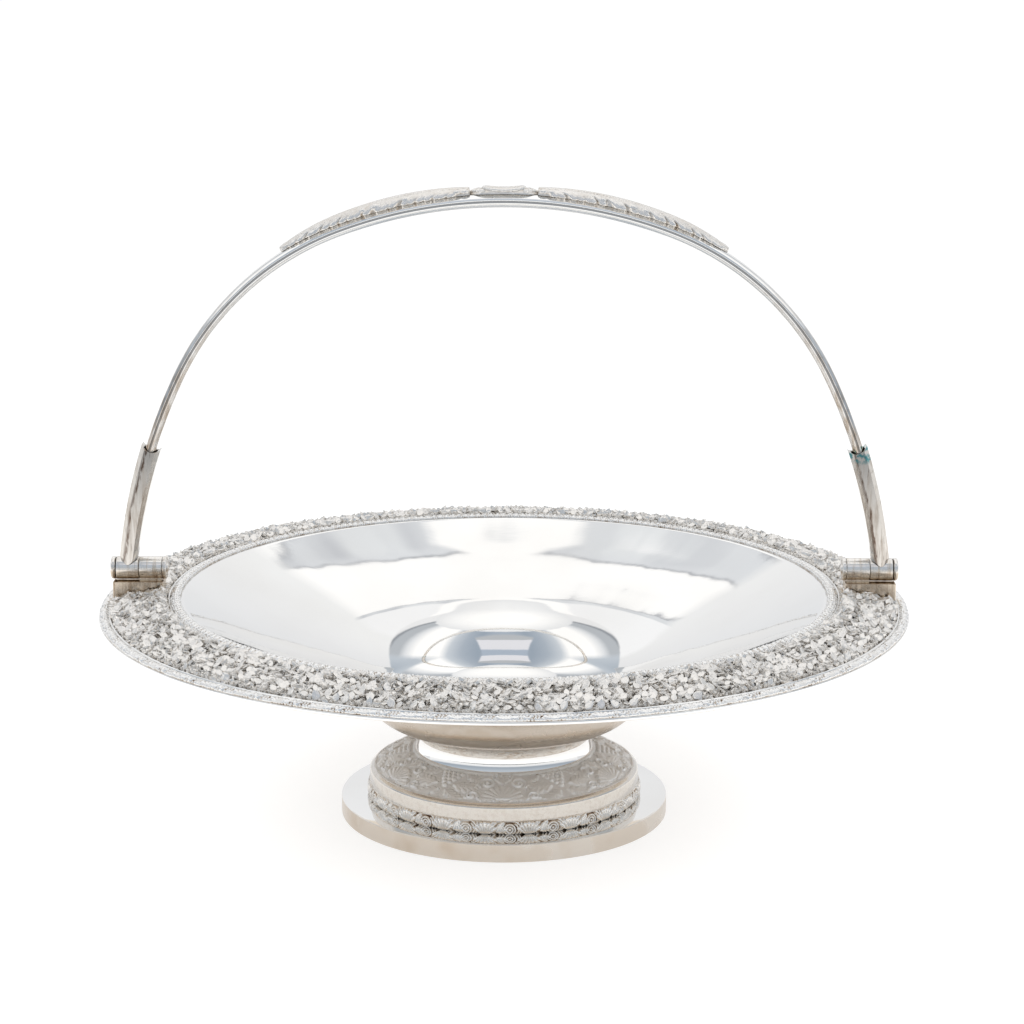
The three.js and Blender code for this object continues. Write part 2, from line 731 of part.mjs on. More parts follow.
function handleCartouche() {
  const steps = 18;
  const middle = 0.62; // share of the length that the blank oval takes
  return loft(
    Array.from({ length: steps + 1 }, (_, i) => {
      const t = along(-0.98, 0.98, i / steps);
      const knob = Math.abs(t) > middle;
      const u = knob ? (Math.abs(t) - middle) / (1 - middle) : t / middle;
      const swell = knob ? 0.55 + 0.25 * Math.sin(Math.PI * u) : 0.6 + 0.4 * Math.sqrt(1 - u * u);
      return castRing((CARTOUCHE_L / 2) * t, CARTOUCHE_W * swell, CARTOUCHE_H * swell);
    }),
  );
}

// The assembly
const finish = (color, roughness) =>
  new THREE.MeshStandardMaterial({ color, roughness, metalness: 1 });
const polished = finish(0xe9e8e6, 0.08);
const satin = finish(0xd9d5cf, 0.28);
const relief = finish(0xd6d0c8, 0.35);

const basket = new THREE.Group();
basket.add(
  mesh("base_plinth", basePlinth(), satin),
  mesh("foot_border", footBorder(), relief),
  mesh("foot_dome", footDome(), polished),
  mesh("foot_neck", footNeck(), polished),
  mesh("bowl", bowl(), polished),
  mesh("rim_flange", rimFlange(), polished),
  mesh("rim_inner_border", rimMoulding(innerBorderR, INNER_BORDER_W, INNER_BORDER_H, 3), relief),
  mesh("rim_inner_wire", rimMoulding(innerWireR, WIRE_D, WIRE_D, 3), polished),
  mesh("rim_floral_band", floralBand(), relief),
  mesh("rim_outer_wire", rimMoulding(outerWireR, WIRE_D, WIRE_D, 3), polished),
  mesh("rim_outer_border", rimMoulding(outerBorderR, OUTER_BORDER_W, OUTER_BORDER_H, 4), relief),
);

// The handle turns about its group's X axis
const handle = new THREE.Group();
handle.position.z = axisZ;
handle.add(
  mesh("handle_strap", handleStrap(), polished),
  mesh("handle_cartouche", handleCartouche(), relief),
);
for (const [side, turn] of [
  ["right", 0],
  ["left", Math.PI],
]) {
  const fixed = new THREE.Group();
  fixed.position.z = axisZ;
  fixed.rotation.z = turn;
  fixed.add(
    mesh(`hinge_bracket_${side}`, hingeBracket(), satin),
    mesh(`hinge_pin_${side}`, hingePin(), satin),
    mesh(`hinge_washer_${side}`, hingeWasher(), satin),
  );
  basket.add(fixed);
  const moving = new THREE.Group();
  moving.rotation.z = turn;
  moving.add(
    mesh(`handle_knuckle_${side}`, knuckle(movingInner, movingOuter), satin),
    mesh(`handle_arm_${side}`, handleArm(), satin),
    mesh(`handle_spray_${side}`, handleSpray(), relief),
  );
  handle.add(moving);
}

const assembly = new THREE.Group();
assembly.add(basket, handle);
export default assembly;
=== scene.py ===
# The looks of a silver swing-handle basket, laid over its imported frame.
import json
import math

import bmesh
import bpy
import numpy as np
from bpy.props import FloatProperty, FloatVectorProperty, IntProperty, PointerProperty
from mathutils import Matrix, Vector


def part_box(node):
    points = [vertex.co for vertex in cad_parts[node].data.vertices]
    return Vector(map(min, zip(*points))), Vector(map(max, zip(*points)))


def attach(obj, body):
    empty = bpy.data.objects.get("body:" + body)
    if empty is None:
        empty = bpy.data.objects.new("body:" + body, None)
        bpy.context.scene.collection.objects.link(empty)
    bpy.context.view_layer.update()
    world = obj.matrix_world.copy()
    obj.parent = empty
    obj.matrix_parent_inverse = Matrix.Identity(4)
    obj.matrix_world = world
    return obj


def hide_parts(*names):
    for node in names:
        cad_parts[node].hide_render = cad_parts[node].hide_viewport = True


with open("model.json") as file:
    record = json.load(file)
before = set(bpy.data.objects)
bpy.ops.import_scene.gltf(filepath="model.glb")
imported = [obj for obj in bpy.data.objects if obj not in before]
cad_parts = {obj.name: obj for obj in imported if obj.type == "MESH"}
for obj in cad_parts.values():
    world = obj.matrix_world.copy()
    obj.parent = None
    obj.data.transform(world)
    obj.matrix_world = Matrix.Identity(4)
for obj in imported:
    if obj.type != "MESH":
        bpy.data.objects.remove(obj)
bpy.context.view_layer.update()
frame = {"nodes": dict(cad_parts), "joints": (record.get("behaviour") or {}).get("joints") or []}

bl_info = {
    "name": "Silver swing-handle basket",
    "version": (1, 0, 0),
    "blender": (4, 5, 0),
    "location": "3D View > Sidebar > Basket",
    "description": "Builds the pieces of a footed silver basket over its frame",
    "category": "Object",
}

MM = 0.001


def reach(node, axis):
    """A CAD node's lowest and highest place along an axis, in millimetres."""
    low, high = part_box(node)
    return low[axis] / MM, high[axis] / MM


# Levels and radii in millimetres, which come from the frame where one of its boxes gives them
RIM_R = reach("rim_flange", 0)[1]
RIM_FALL = math.tan(math.radians(9.9))
RIM_INNER_R, BOWL_EDGE_R = 121.2, 121.1
SHEET, SHEET_ON_SLOPE = 1.2, 1.218
SHOULDER_R = 119.0
SHOULDER_Z = reach("rim_flange", 2)[1] + RIM_FALL * (RIM_INNER_R - SHOULDER_R)
BOWL_UNDER = reach("bowl", 2)[0]
FLOOR_ARC, WELL_ARC, FLARE_ARC = 120.0, 16.0, 30.0
FLOOR_ANGLE, WELL_SLOPE, WALL_SLOPE = (math.radians(a) for a in (21, 66, 28.5))
PLINTH_R, PLINTH_TOP = reach("base_plinth", 0)[1], reach("base_plinth", 2)[1]
BORDER_R, BORDER_TOP = reach("foot_border", 0)[1], reach("foot_border", 2)[1]
FLANGE_R, DOME_TOP = reach("foot_dome", 0)[1], reach("foot_dome", 2)[1]
DOME_INNER_R = 33.3
NECK_TOP = reach("foot_neck", 2)[1]
AXIS_Z = frame["joints"][0]["pos_m"][2] / MM
BARREL_R = reach("handle_knuckle_right", 1)[1]
ARM_TOP = reach("handle_arm_right", 2)[1]
BAND_INNER_R, BAND_OUTER_R, BAND_HEIGHT, BAND_SLOPE = 125.0, 145.5, 1.75, 1.4


def rim_z(r, height=0.0):
    """The level of the rim's upper face at radius r."""
    return SHOULDER_Z - (r - SHOULDER_R) * RIM_FALL + height


# Colours and materials

NOISE, MIX, MATH = "ShaderNodeTexNoise", "ShaderNodeMix", "ShaderNodeMath"
RANGE, RAMP, BUMP = "ShaderNodeMapRange", "ShaderNodeValToRGB", "ShaderNodeBump"
MAPPING, AXES = "ShaderNodeMapping", "ShaderNodeSeparateXYZ"
WHITE = (1.0, 1.0, 1.0, 1.0)


def linear(code):
    """A linear colour with alpha from an sRGB hex code."""
    parts = [int(code[i : i + 2], 16) / 255 for i in (1, 3, 5)]
    return tuple(c / 12.92 if c <= 0.04045 else ((c + 0.055) / 1.055) ** 2.4 for c in parts) + (1.0,)


def between(first, second, share):
    """A colour part of the way from one to another."""
    return tuple(a + (b - a) * share for a, b in zip(first, second))


def patches(size):
    """The noise scale that gives patches about size millimetres across."""
    return 1 / (size * MM)


def add(tree, kind, inputs=None, stops=(), **settings):
    """Adds a node with its settings, its inputs and its colour stops. A node given as an input is linked."""
    made = tree.nodes.new(kind)
    for key, value in settings.items():
        setattr(made, key, value)
    for key, value in (inputs or {}).items():
        if isinstance(value, bpy.types.Node):
            value = next(socket for socket in value.outputs if socket.enabled)
        if isinstance(value, bpy.types.NodeSocket):
            tree.links.new(value, made.inputs[key])
        else:
            made.inputs[key].default_value = value
    if stops:
        for _ in stops[2:]:
            made.color_ramp.elements.new(0.5)
        for element, (place, tint) in zip(made.color_ramp.elements, stops):
            element.position = place
            element.color = linear(tint) if isinstance(tint, str) else tint
    return made


def started(name):
    """A new material with its empty tree and the object's coordinates."""
    material = bpy.data.materials.new(name)
    material.use_nodes = True
    tree = material.node_tree
    tree.nodes.clear()
    return material, tree, add(tree, "ShaderNodeTexCoord").outputs["Object"]


def end_in_metal(tree, tint, roughness, bump):
    """Ends a tree in plain metal. The bump has its strength, its depth in millimetres and its height."""
    strength, depth, height, *normal = bump
    marks = {"Strength": strength, "Distance": depth * MM, "Height": height}
    if normal:
        marks["Normal"] = normal[0]
    surface = {"Metallic": 1.0, "Base Color": tint, "Roughness": roughness, "Normal": add(tree, BUMP, marks)}
    metal = add(tree, "ShaderNodeBsdfPrincipled", surface)
    add(tree, "ShaderNodeOutputMaterial", {0: metal})


def polished_silver(name, colours):
    """Sterling spun and buffed to a mirror: pale, with slow waves from the chuck and fine wipe marks."""
    material, tree, place = started(name)
    haze = add(tree, NOISE, {"Vector": place, "Scale": patches(45), "Detail": 3.0})
    thin = add(tree, RANGE, {0: haze, 1: 0.4, 2: 0.8, 4: 0.25})
    tint = add(tree, MIX, {0: thin, 6: colours.bright, 7: colours.worn}, data_type="RGBA")
    roughness = add(tree, RANGE, {0: haze, 1: 0.3, 2: 0.8, 3: 0.03, 4: 0.06})
    chuck = add(tree, NOISE, {"Vector": place, "Scale": patches(38)})
    waves = add(tree, BUMP, {"Strength": 0.15, "Distance": 0.6 * MM, "Height": chuck})
    drawn = add(tree, MAPPING, {0: place, 3: (0.12, 1.0, 1.0)})
    wiped = add(tree, NOISE, {"Vector": drawn, "Scale": patches(0.9), "Detail": 4.0, "Roughness": 0.6})
    end_in_metal(tree, tint, roughness, (0.02, 0.1, wiped, waves))
    return material


def tarnished_silver(name, colours):
    """Polished sheet that was left to yellow: warm cream with tan rings where the cloth never reached."""
    material, tree, place = started(name)
    flat = add(tree, MAPPING, {0: place, 3: (1.0, 1.0, 0.0)})
    radius = add(tree, "ShaderNodeVectorMath", {0: flat}, operation="LENGTH")
    wander = add(tree, NOISE, {"Vector": place, "Scale": patches(22), "Detail": 3.0})
    along = add(tree, MATH, {0: wander, 1: 12 * MM, 2: radius}, operation="MULTIPLY_ADD")
    rings = add(tree, NOISE, {"W": along, "Scale": patches(9), "Detail": 3.0}, noise_dimensions="1D")
    tint = add(tree, RAMP, {0: rings}, ((0.25, colours.cream), (0.75, colours.worn)))
    inside = add(tree, RANGE, {0: radius, 1: 85 * MM, 2: 60 * MM})
    ringed_share = add(tree, RANGE, {0: rings, 1: 0.7, 2: 0.3, 3: 0.2, 4: 0.75})
    inner = add(tree, MATH, {0: inside, 1: ringed_share}, operation="MULTIPLY")
    tint = add(tree, MIX, {0: inner, 6: tint, 7: colours.tan}, data_type="RGBA")
    roughness = add(tree, RANGE, {0: wander, 1: 0.3, 2: 0.7, 3: 0.2, 4: 0.3})
    dents = add(tree, NOISE, {"Vector": place, "Scale": patches(30)})
    end_in_metal(tree, tint, roughness, (0.1, 0.4, dents))
    return material


def worn_silver(name, colours, grain, stain_tint, amount, smooth, rough, marked=None):
    """Sterling whose polish has worn to a satin, with tarnish and brown spots that the grain holds."""
    material, tree, place = started(name)
    drawn = add(tree, MAPPING, {0: place, 3: grain})
    streak = add(tree, NOISE, {"Vector": drawn, "Scale": patches(1.6), "Detail": 5.0, "Roughness": 0.65})
    patch = add(tree, NOISE, {"Vector": place, "Scale": patches(11), "Detail": 3.0})
    streaked = add(tree, RANGE, {0: streak, 1: 0.46, 2: 0.6})
    patched = add(tree, RANGE, {0: patch, 1: 0.35, 2: 0.65, 3: 0.2, 4: amount})
    stain = add(tree, MATH, {0: streaked, 1: patched}, operation="MULTIPLY")
    tint = add(tree, MIX, {0: stain, 6: colours.worn, 7: stain_tint}, data_type="RGBA")
    specks = add(tree, NOISE, {"Vector": drawn, "Scale": patches(0.6)})
    spots = add(tree, RANGE, {0: specks, 1: 0.66, 2: 0.7, 4: amount})
    tint = add(tree, MIX, {0: spots, 6: tint, 7: colours.brown}, data_type="RGBA")
    if marked:
        tint = marked(tree, place, tint, colours)
    roughness = add(tree, RANGE, {0: streak, 1: 0.3, 2: 0.75, 3: smooth, 4: rough})
    scratches = add(tree, NOISE, {"Vector": drawn, "Scale": patches(0.7), "Detail": 3.0})
    end_in_metal(tree, tint, roughness, (0.1, 0.1, scratches))
    return material


def satin_silver(name, colours):
    """Handled and wiped silver with a fine grain in no one direction."""
    return worn_silver(name, colours, (1.0, 1.0, 1.0), colours.tan, 0.12, 0.12, 0.22)


def drawn_silver(name, colours):
    """Filed and drawn tube, with its streaks up and down."""
    dark = between(colours.tan, colours.brown, 0.35)
    return worn_silver(name, colours, (1.0, 1.0, 0.09), dark, 0.55, 0.08, 0.2, socket_marks)


def socket_marks(tree, place, tint, colours):
    """A dark ragged streak down each tube, and copper bloom in the right socket's mouth."""
    x, _, z = add(tree, AXES, {0: place}).outputs
    foot, knee, mouth = (ON_ARCH(LEG_LENGTH - up)[0] * MM for up in (0, ARM_L / 2, ARM_L))
    lower = add(tree, RANGE, {0: z, 1: foot[1], 2: knee[1], 3: foot[0], 4: knee[0]})
    upper = add(tree, RANGE, {0: z, 1: knee[1], 2: mouth[1], 4: mouth[0] - knee[0]})
    middle = add(tree, MATH, {0: lower, 1: upper})
    aside = add(tree, MATH, {0: x}, operation="ABSOLUTE")
    way = add(tree, MATH, {0: x}, operation="SIGN")
    off = add(tree, MATH, {0: aside, 1: middle}, operation="SUBTRACT")
    drawn = add(tree, MAPPING, {0: place, 3: (1.0, 1.0, 0.2)})
    ragged = add(tree, NOISE, {"Vector": drawn, "Scale": patches(1.6), "Detail": 4.0, "Roughness": 0.7})
    shift = add(tree, RANGE, {0: ragged, 1: 0.3, 2: 0.7, 3: 1.0 * MM, 4: 2.2 * MM})
    off = add(tree, MATH, {0: off, 1: way, 2: shift}, operation="MULTIPLY_ADD")
    off = add(tree, MATH, {0: off}, operation="ABSOLUTE")
    core = add(tree, RANGE, {0: off, 1: 0.8 * MM, 2: 0.2 * MM})
    broken = add(tree, RANGE, {0: ragged, 1: 0.6, 2: 0.4, 3: 0.25, 4: 0.9})
    streak = add(tree, MATH, {0: core, 1: broken}, operation="MULTIPLY")
    tint = add(tree, MIX, {0: streak, 6: tint, 7: colours.brown}, data_type="RGBA")
    near_mouth = add(tree, RANGE, {0: z, 1: (ARM_TOP - 7.5) * MM, 2: (ARM_TOP - 5) * MM})
    crumbs = add(tree, NOISE, {"Vector": place, "Scale": patches(2), "Detail": 3.0})
    bloom = add(tree, RANGE, {0: crumbs, 1: 0.46, 2: 0.6})
    bloom = add(tree, MATH, {0: near_mouth, 1: bloom}, operation="MULTIPLY")
    on_right = add(tree, RANGE, {0: x, 1: 0.0, 2: 10 * MM, 4: 0.85})
    bloom = add(tree, MATH, {0: bloom, 1: on_right}, operation="MULTIPLY")
    return add(tree, MIX, {0: bloom, 6: tint, 7: colours.verdigris}, data_type="RGBA")


def forged_silver(name, colours):
    """The strap: buffed at the crown, and yellowed in long streaks towards the sockets."""
    material, tree, place = started(name)
    height = add(tree, AXES, {0: place}).outputs["Z"]
    drawn = add(tree, MAPPING, {0: place, 3: (0.4, 1.0, 0.1)})
    streak = add(tree, NOISE, {"Vector": drawn, "Scale": patches(1.2), "Detail": 4.0, "Roughness": 0.6})
    low = add(tree, RANGE, {0: height, 1: 215 * MM, 2: 150 * MM})
    streaked = add(tree, RANGE, {0: streak, 1: 0.4, 2: 0.6, 3: 0.3})
    dull = add(tree, MATH, {0: low, 1: streaked}, operation="MULTIPLY")
    yellow = between(colours.worn, colours.tan, 0.8)
    tint = add(tree, MIX, {0: dull, 6: colours.bright, 7: yellow}, data_type="RGBA")
    roughness = add(tree, RANGE, {0: streak, 1: 0.3, 2: 0.7, 3: 0.05, 4: 0.12})
    end_in_metal(tree, tint, roughness, (0.05, 0.1, streak))
    return material


def scuffed_silver(name, colours):
    """The collar of the neck, rubbed dull in short level scratches."""
    return worn_silver(name, colours, (0.5, 0.5, 3.0), colours.tan, 1.0, 0.2, 0.34)


def hinge_silver(name, colours):
    """Turned barrels: wiped bright on top; below the axis amber and tan, partly tarnish where no cloth
    reaches and partly painted shade and warm reflection.
    """
    material, tree, place = started(name)
    level = add(tree, AXES, {0: place}).outputs["Z"]
    wander = add(tree, NOISE, {"Vector": place, "Scale": patches(4), "Detail": 3.0})
    level = add(tree, MATH, {0: wander, 1: 1.2 * MM, 2: level}, operation="MULTIPLY_ADD")
    # Below the hinge axis the tint is amber and tan: partly tarnish, partly painted shade and painted warm
    # reflection.
    under = add(tree, RANGE, {0: level, 1: (AXIS_Z + 0.9) * MM, 2: (AXIS_Z - 0.3) * MM})
    lathe_marks = add(tree, MAPPING, {0: place, 3: (1.0, 0.1, 0.1)})
    streak = add(tree, NOISE, {"Vector": lathe_marks, "Scale": patches(1.2), "Detail": 4.0})
    above = add(tree, RANGE, {0: streak, 1: 0.5, 2: 0.7})
    below = add(tree, RANGE, {0: streak, 1: 0.5, 2: 0.68})
    bright = between(colours.bright, colours.cream, 0.3)
    wiped = add(tree, MIX, {0: above, 6: bright, 7: colours.cream}, data_type="RGBA")
    yellow = add(tree, MIX, {0: below, 6: colours.amber_and_reflection, 7: colours.tan}, data_type="RGBA")
    tint = add(tree, MIX, {0: under, 6: wiped, 7: yellow}, data_type="RGBA")
    roughness = add(tree, RANGE, {0: streak, 1: 0.3, 2: 0.7, 3: 0.16, 4: 0.28})
    end_in_metal(tree, tint, roughness, (0.1, 0.1, streak))
    return material


def relief_silver(name, top, wiped, ground, deep, matt, grit):
    """Cast or chased sterling: the tops are wiped bright, and the ground keeps its patina."""
    material, tree, place = started(name)
    recess = add(tree, "ShaderNodeAttribute", attribute_name="recess").outputs["Fac"]
    uneven = add(tree, NOISE, {"Vector": place, "Scale": patches(2.2), "Detail": 3.0, "Roughness": 0.6})
    wide = add(tree, NOISE, {"Vector": place, "Scale": patches(13)})
    region = add(tree, RANGE, {0: wide, 1: 0.35, 2: 0.65, 3: 0.7, 4: 1.05})
    broken = add(tree, RANGE, {0: uneven, 1: 0.25, 2: 0.75, 3: -0.22, 4: 0.2})
    pits = add(tree, MATH, {0: recess, 1: broken})
    pits = add(tree, MATH, {0: pits, 1: region}, operation="MULTIPLY")
    tint = add(tree, RAMP, {0: pits}, ((0.2, top), (0.62, wiped), (0.9, ground), (1.0, deep)))
    roughness = add(tree, RANGE, {0: pits, 1: 0.2, 2: 0.95, 3: 0.25 + matt, 4: 0.5 + matt})
    grain = add(tree, NOISE, {"Vector": place, "Scale": patches(0.8), "Detail": 3.0, "Roughness": 0.6})
    end_in_metal(tree, tint, roughness, (1.0, grit, grain))
    return material


def cast_silver(name, colours):
    """Cast border: bright points over dark brown sulphide."""
    top = between(colours.bright, colours.cream, 0.28)
    wiped = between(colours.bright, colours.cream, 0.7)
    return relief_silver(name, top, wiped, colours.tan, colours.brown, 0.0, 0.12)


def wiped_cast_silver(name, colours):
    """The narrow borders of the rim, which every wipe of the cloth catches."""
    wiped = between(colours.bright, colours.cream, 0.35)
    return relief_silver(name, colours.bright, wiped, colours.tan, colours.brown, 0.0, 0.08)


def chased_silver(name, colours):
    """Chased and matted field: bright forms over a ground of fine punch marks."""
    top = between(colours.bright, WHITE, 0.4)
    return relief_silver(name, top, top, colours.bright, colours.cream, 0.4, 0.2)


# Each finish with the function that makes it and the slot that it goes in
FINISHES = {
    "polished silver": (polished_silver, "polished_silver"),
    "tarnished silver": (tarnished_silver, "polished_silver"),
    "satin silver": (satin_silver, "satin_silver"),
    "drawn silver": (drawn_silver, "satin_silver"),
    "forged silver": (forged_silver, "polished_silver"),
    "scuffed silver": (scuffed_silver, "polished_silver"),
    "hinge silver": (hinge_silver, "satin_silver"),
    "cast silver": (cast_silver, "cast_silver"),
    "wiped cast silver": (wiped_cast_silver, "cast_silver"),
    "chased silver": (chased_silver, "polished_silver"),
}


def finish(name):
    """The finish with this name, made when first asked for."""
    found = bpy.data.materials.get(name)
    return found or FINISHES[name][0](name, bpy.context.scene.basket_colours)


# Meshes: points are in millimetres until a piece is made


def skin(rings, round_ring=True, round_way=False, capped=False):
    """Points and faces over equal rings."""
    rings = np.asarray(rings, float)
    ways, count = rings.shape[:2]
    k = np.arange(ways if round_way else ways - 1)[:, None]
    i = np.arange(count if round_ring else count - 1)[None, :]
    k, i = (a.ravel() for a in np.broadcast_arrays(k, i))
    far, on = (k + 1) % ways, (i + 1) % count
    faces = np.stack([k * count + i, k * count + on, far * count + on, far * count + i], 1).tolist()
    if capped:
        faces += [list(range(count))[::-1], list(range((ways - 1) * count, ways * count))]
    return rings.reshape(-1, 3), faces


def joined(*parts):
    """Several lots of points and faces as one."""
    points, faces, base = [], [], 0
    for part_points, part_faces in parts:
        points.append(np.asarray(part_points, float))
        faces += [[i + base for i in face] for face in part_faces]
        base += len(part_points)
    return np.concatenate(points), faces


def spun(outline, facets=192):
    """A closed outline of (r, z), turned round Z."""
    t = np.linspace(0, math.tau, facets, endpoint=False)
    outline = np.asarray(outline, float)
    r, z = outline[:, :1], outline[:, 1:]
    return skin(np.stack([r * np.cos(t), r * np.sin(t), z + 0 * t], 2), round_way=True)


def turned(outline, side, facets=64):
    """A closed outline of (x, r), turned round the hinge axis, on the right or the left."""
    t = np.linspace(0, math.tau, facets, endpoint=False)
    outline = np.asarray(outline, float)
    x, r = outline[:, :1], outline[:, 1:]
    rings = np.stack([side * x + 0 * t, side * r * np.cos(t), AXIS_Z + r * np.sin(t)], 2)
    return skin(rings, round_way=True)


def on_arc(centre, radius, angle):
    """Points of (r, z) on an arc, by the slope there. A negative radius puts the centre below it."""
    return np.asarray(centre) + radius * np.stack([np.sin(angle), -np.cos(angle)], -1)


def rounded(path, radius, steps=4, closed=True):
    """The path with each of its corners rounded."""
    path = np.asarray(path, float)
    made = []
    for i, corner in enumerate(path):
        if not closed and i in (0, len(path) - 1):
            made.append(corner)
            continue
        back, on = path[i - 1] - corner, path[(i + 1) % len(path)] - corner
        back_length, on_length = np.linalg.norm(back), np.linalg.norm(on)
        take = min(radius, back_length / 2.1, on_length / 2.1)
        start, end = corner + back / back_length * take, corner + on / on_length * take
        for t in np.linspace(0, 1, steps + 1):
            made.append((1 - t) ** 2 * start + 2 * t * (1 - t) * corner + t * t * end)
    return np.asarray(made)


def spaced(path, gap):
    """Points at even distances along a path."""
    path = np.asarray(path, float)
    run = np.concatenate([[0], np.cumsum(np.linalg.norm(np.diff(path, axis=0), axis=1))])
    at = np.linspace(0, run[-1], max(2, round(run[-1] / gap) + 1))
    return np.stack([np.interp(at, run, path[:, k]) for k in range(path.shape[1])], 1)


def tidied(mesh, angle):
    """Merges doubles, turns the faces outwards and smooths all but the sharp edges."""
    work = bmesh.new()
    work.from_mesh(mesh)
    bmesh.ops.remove_doubles(work, verts=work.verts, dist=1e-6)
    bmesh.ops.dissolve_degenerate(work, edges=work.edges, dist=1e-7)
    bmesh.ops.recalc_face_normals(work, faces=work.faces)
    work.to_mesh(mesh)
    work.free()
    mesh.shade_smooth()
    mesh.set_sharp_from_angle(angle=math.radians(angle))


def raw(name, points, faces, recess=None):
    """A mesh object at the origin, with its recess attribute if it has one."""
    mesh = bpy.data.meshes.new(name)
    mesh.from_pydata((np.asarray(points) * MM).tolist(), [], faces)
    if recess is not None:
        mesh.attributes.new("recess", "FLOAT", "POINT").data.foreach_set("value", np.ravel(recess))
    made = bpy.data.objects.new(name, mesh)
    bpy.context.scene.collection.objects.link(made)
    return made


def finished(made, coat, stands_for=(), body="basket", angle=35, tidy=True, second=None, second_faces=None):
    """Tidies a piece, coats it and hangs it on its body. Chosen faces get the second coat."""
    if tidy:
        tidied(made.data, angle)
    made.data.materials.clear()
    made.data.materials.append(finish(coat))
    if second:
        made.data.materials.append(finish(second))
        for polygon in made.data.polygons:
            polygon.material_index = int(second_faces(polygon))
    if stands_for:
        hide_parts(*stands_for)
    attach(made, body)
    return made


# Relief: heights in millimetres over a flat field, which is then laid on a piece


class Relief:
    """A field with its length along u and its breadth along v. It can repeat along u."""

    def __init__(self, length, breadth, grain, repeats=True):
        self.length, self.breadth = length, breadth
        self.shifts = (-length, 0, length) if repeats else (0,)
        u = np.linspace(0, length, round(length / grain) + 1)
        v = np.linspace(0, breadth, round(breadth / grain) + 1)
        self.u, self.v = np.meshgrid(u, v)
        self.h = np.zeros_like(self.u)

    def near(self, line, widths):
        """The field's points close to each copy of a line, how far off they lie, and where on it."""
        line = np.atleast_2d(np.asarray(line, float))
        widths = np.broadcast_to(np.asarray(widths, float), len(line))
        margin = widths.max()
        for shift in self.shifts:
            u = line[:, 0] + shift
            close = (self.u > u.min() - margin) & (self.u < u.max() + margin)
            close &= (self.v > line[:, 1].min() - margin) & (self.v < line[:, 1].max() + margin)
            if close.any():
                du = self.u[close][:, None] - u
                dv = self.v[close][:, None] - line[:, 1]
                off = np.hypot(du, dv) / widths
                yield close, off.min(1), off.argmin(1)

    def rise(self, line, widths, heights, fullness=2.0):
        """A raised round-backed line."""
        heights = np.broadcast_to(np.asarray(heights, float), len(np.atleast_2d(line)))
        for close, off, where in self.near(line, widths):
            back = heights[where] * np.sqrt(np.clip(1 - off**fullness, 0, 1))
            self.h[close] = np.maximum(self.h[close], back)

    def sink(self, line, widths, depth):
        """A groove."""
        for close, off, _ in self.near(line, widths):
            self.h[close] -= depth * np.clip(1 - off**2, 0, 1)

    def recess(self, depth, spread):
        """How far each point lies under the mean height about it: half on level ground, one in a crease."""
        mean = self.h.copy()
        for step in (1, 2, max(spread // 2, 1), spread):
            across = np.pad(mean, ((step, step), (0, 0)), "edge")
            mean = (across[: -2 * step] + mean * 2 + across[2 * step :]) / 4
            ring = mean[:, :-1]
            ring = (np.roll(ring, step, 1) + ring * 2 + np.roll(ring, -step, 1)) / 4
            mean = np.concatenate([ring, ring[:, :1]], 1)
        return np.clip(0.5 + (mean - self.h) / depth, 0, 1)

    def leaf(self, root, angle, length, width, height, lobes=4, bend=0.0):
        """A leaf with round lobes on both sides of its rib."""
        steps = 23
        t = np.linspace(0, 1, steps + 1)
        turn = angle + bend * t
        way_along = np.stack([np.cumsum(np.cos(turn)), np.cumsum(np.sin(turn))], 1)
        rib = np.asarray(root) + way_along * (length / steps)
        self.rise(rib, width * 0.2 * np.sin(math.pi * (0.12 + 0.8 * t)) + 0.05, height)
        for i in range(lobes):
            at = (i + 0.5) / lobes * 0.85
            base = rib[int(at * steps)]
            size = width / 2 * math.sin(math.pi * (0.2 + 0.7 * at)) ** 0.7
            for side in (-1, 1):
                way = turn[int(at * steps)] + side * 0.75
                tip = base + size * np.array([math.cos(way), math.sin(way)])
                lobe = base + np.linspace(0.1, 1, 10)[:, None] * (tip - base)
                widths = length / lobes * np.linspace(0.3, 0.42, 10)
                self.rise(lobe, widths, height * np.linspace(0.95, 0.75, 10))
        self.sink(rib[2:-2], 0.18 + 0 * t[2:-2], height * 0.4)

    def fan(self, root, angle, spread, length, ribs, height):
        """A shell: ribs that spread from a point."""
        for way in np.linspace(angle - spread / 2, angle + spread / 2, ribs):
            outwards = length * np.array([math.cos(way), math.sin(way)])
            line = np.asarray(root) + np.linspace(0.1, 1, 14)[:, None] * outwards
            width = length * spread / ribs * 0.62
            self.rise(line, np.linspace(0.25, 1, 14) * width, height * np.linspace(0.7, 1, 14))

    def scroll(self, centre, radius, turns, start, width, height, tail=0.12):
        """A volute that winds in to its eye."""
        t = np.linspace(0, 1, 60)
        r = radius * (1 - (1 - tail) * t)
        a = start + math.tau * turns * t
        line = np.asarray(centre) + np.stack([r * np.cos(a), r * np.sin(a)], 1)
        self.rise(line, width * (1 - 0.35 * t), height)
        self.rise([centre], width * 0.95, height * 1.1)


def oval(centre, half_length, half_breadth, angles):
    """Points on an oval at these angles."""
    return np.stack([centre[0] + half_length * np.cos(angles), centre[1] + half_breadth * np.sin(angles)], 1)


def bent_rings(path, relief, count):
    """A relief field laid on a path of (r, z), as one of count sectors, with a closed section."""
    path = spaced(path, 0.01)
    rows, columns = relief.h.shape
    at = np.linspace(0, len(path) - 1, rows)
    r = np.interp(at, np.arange(len(path)), path[:, 0])
    z = np.interp(at, np.arange(len(path)), path[:, 1])
    dr, dz = np.gradient(r), np.gradient(z)
    size = np.hypot(dr, dz)
    out_r, out_z = -dz / size, dr / size
    t = np.linspace(0, math.tau / count, columns)
    rr = r[:, None] + out_r[:, None] * relief.h
    zz = z[:, None] + out_z[:, None] * relief.h
    return np.stack([rr * np.cos(t), rr * np.sin(t), zz], 2), t


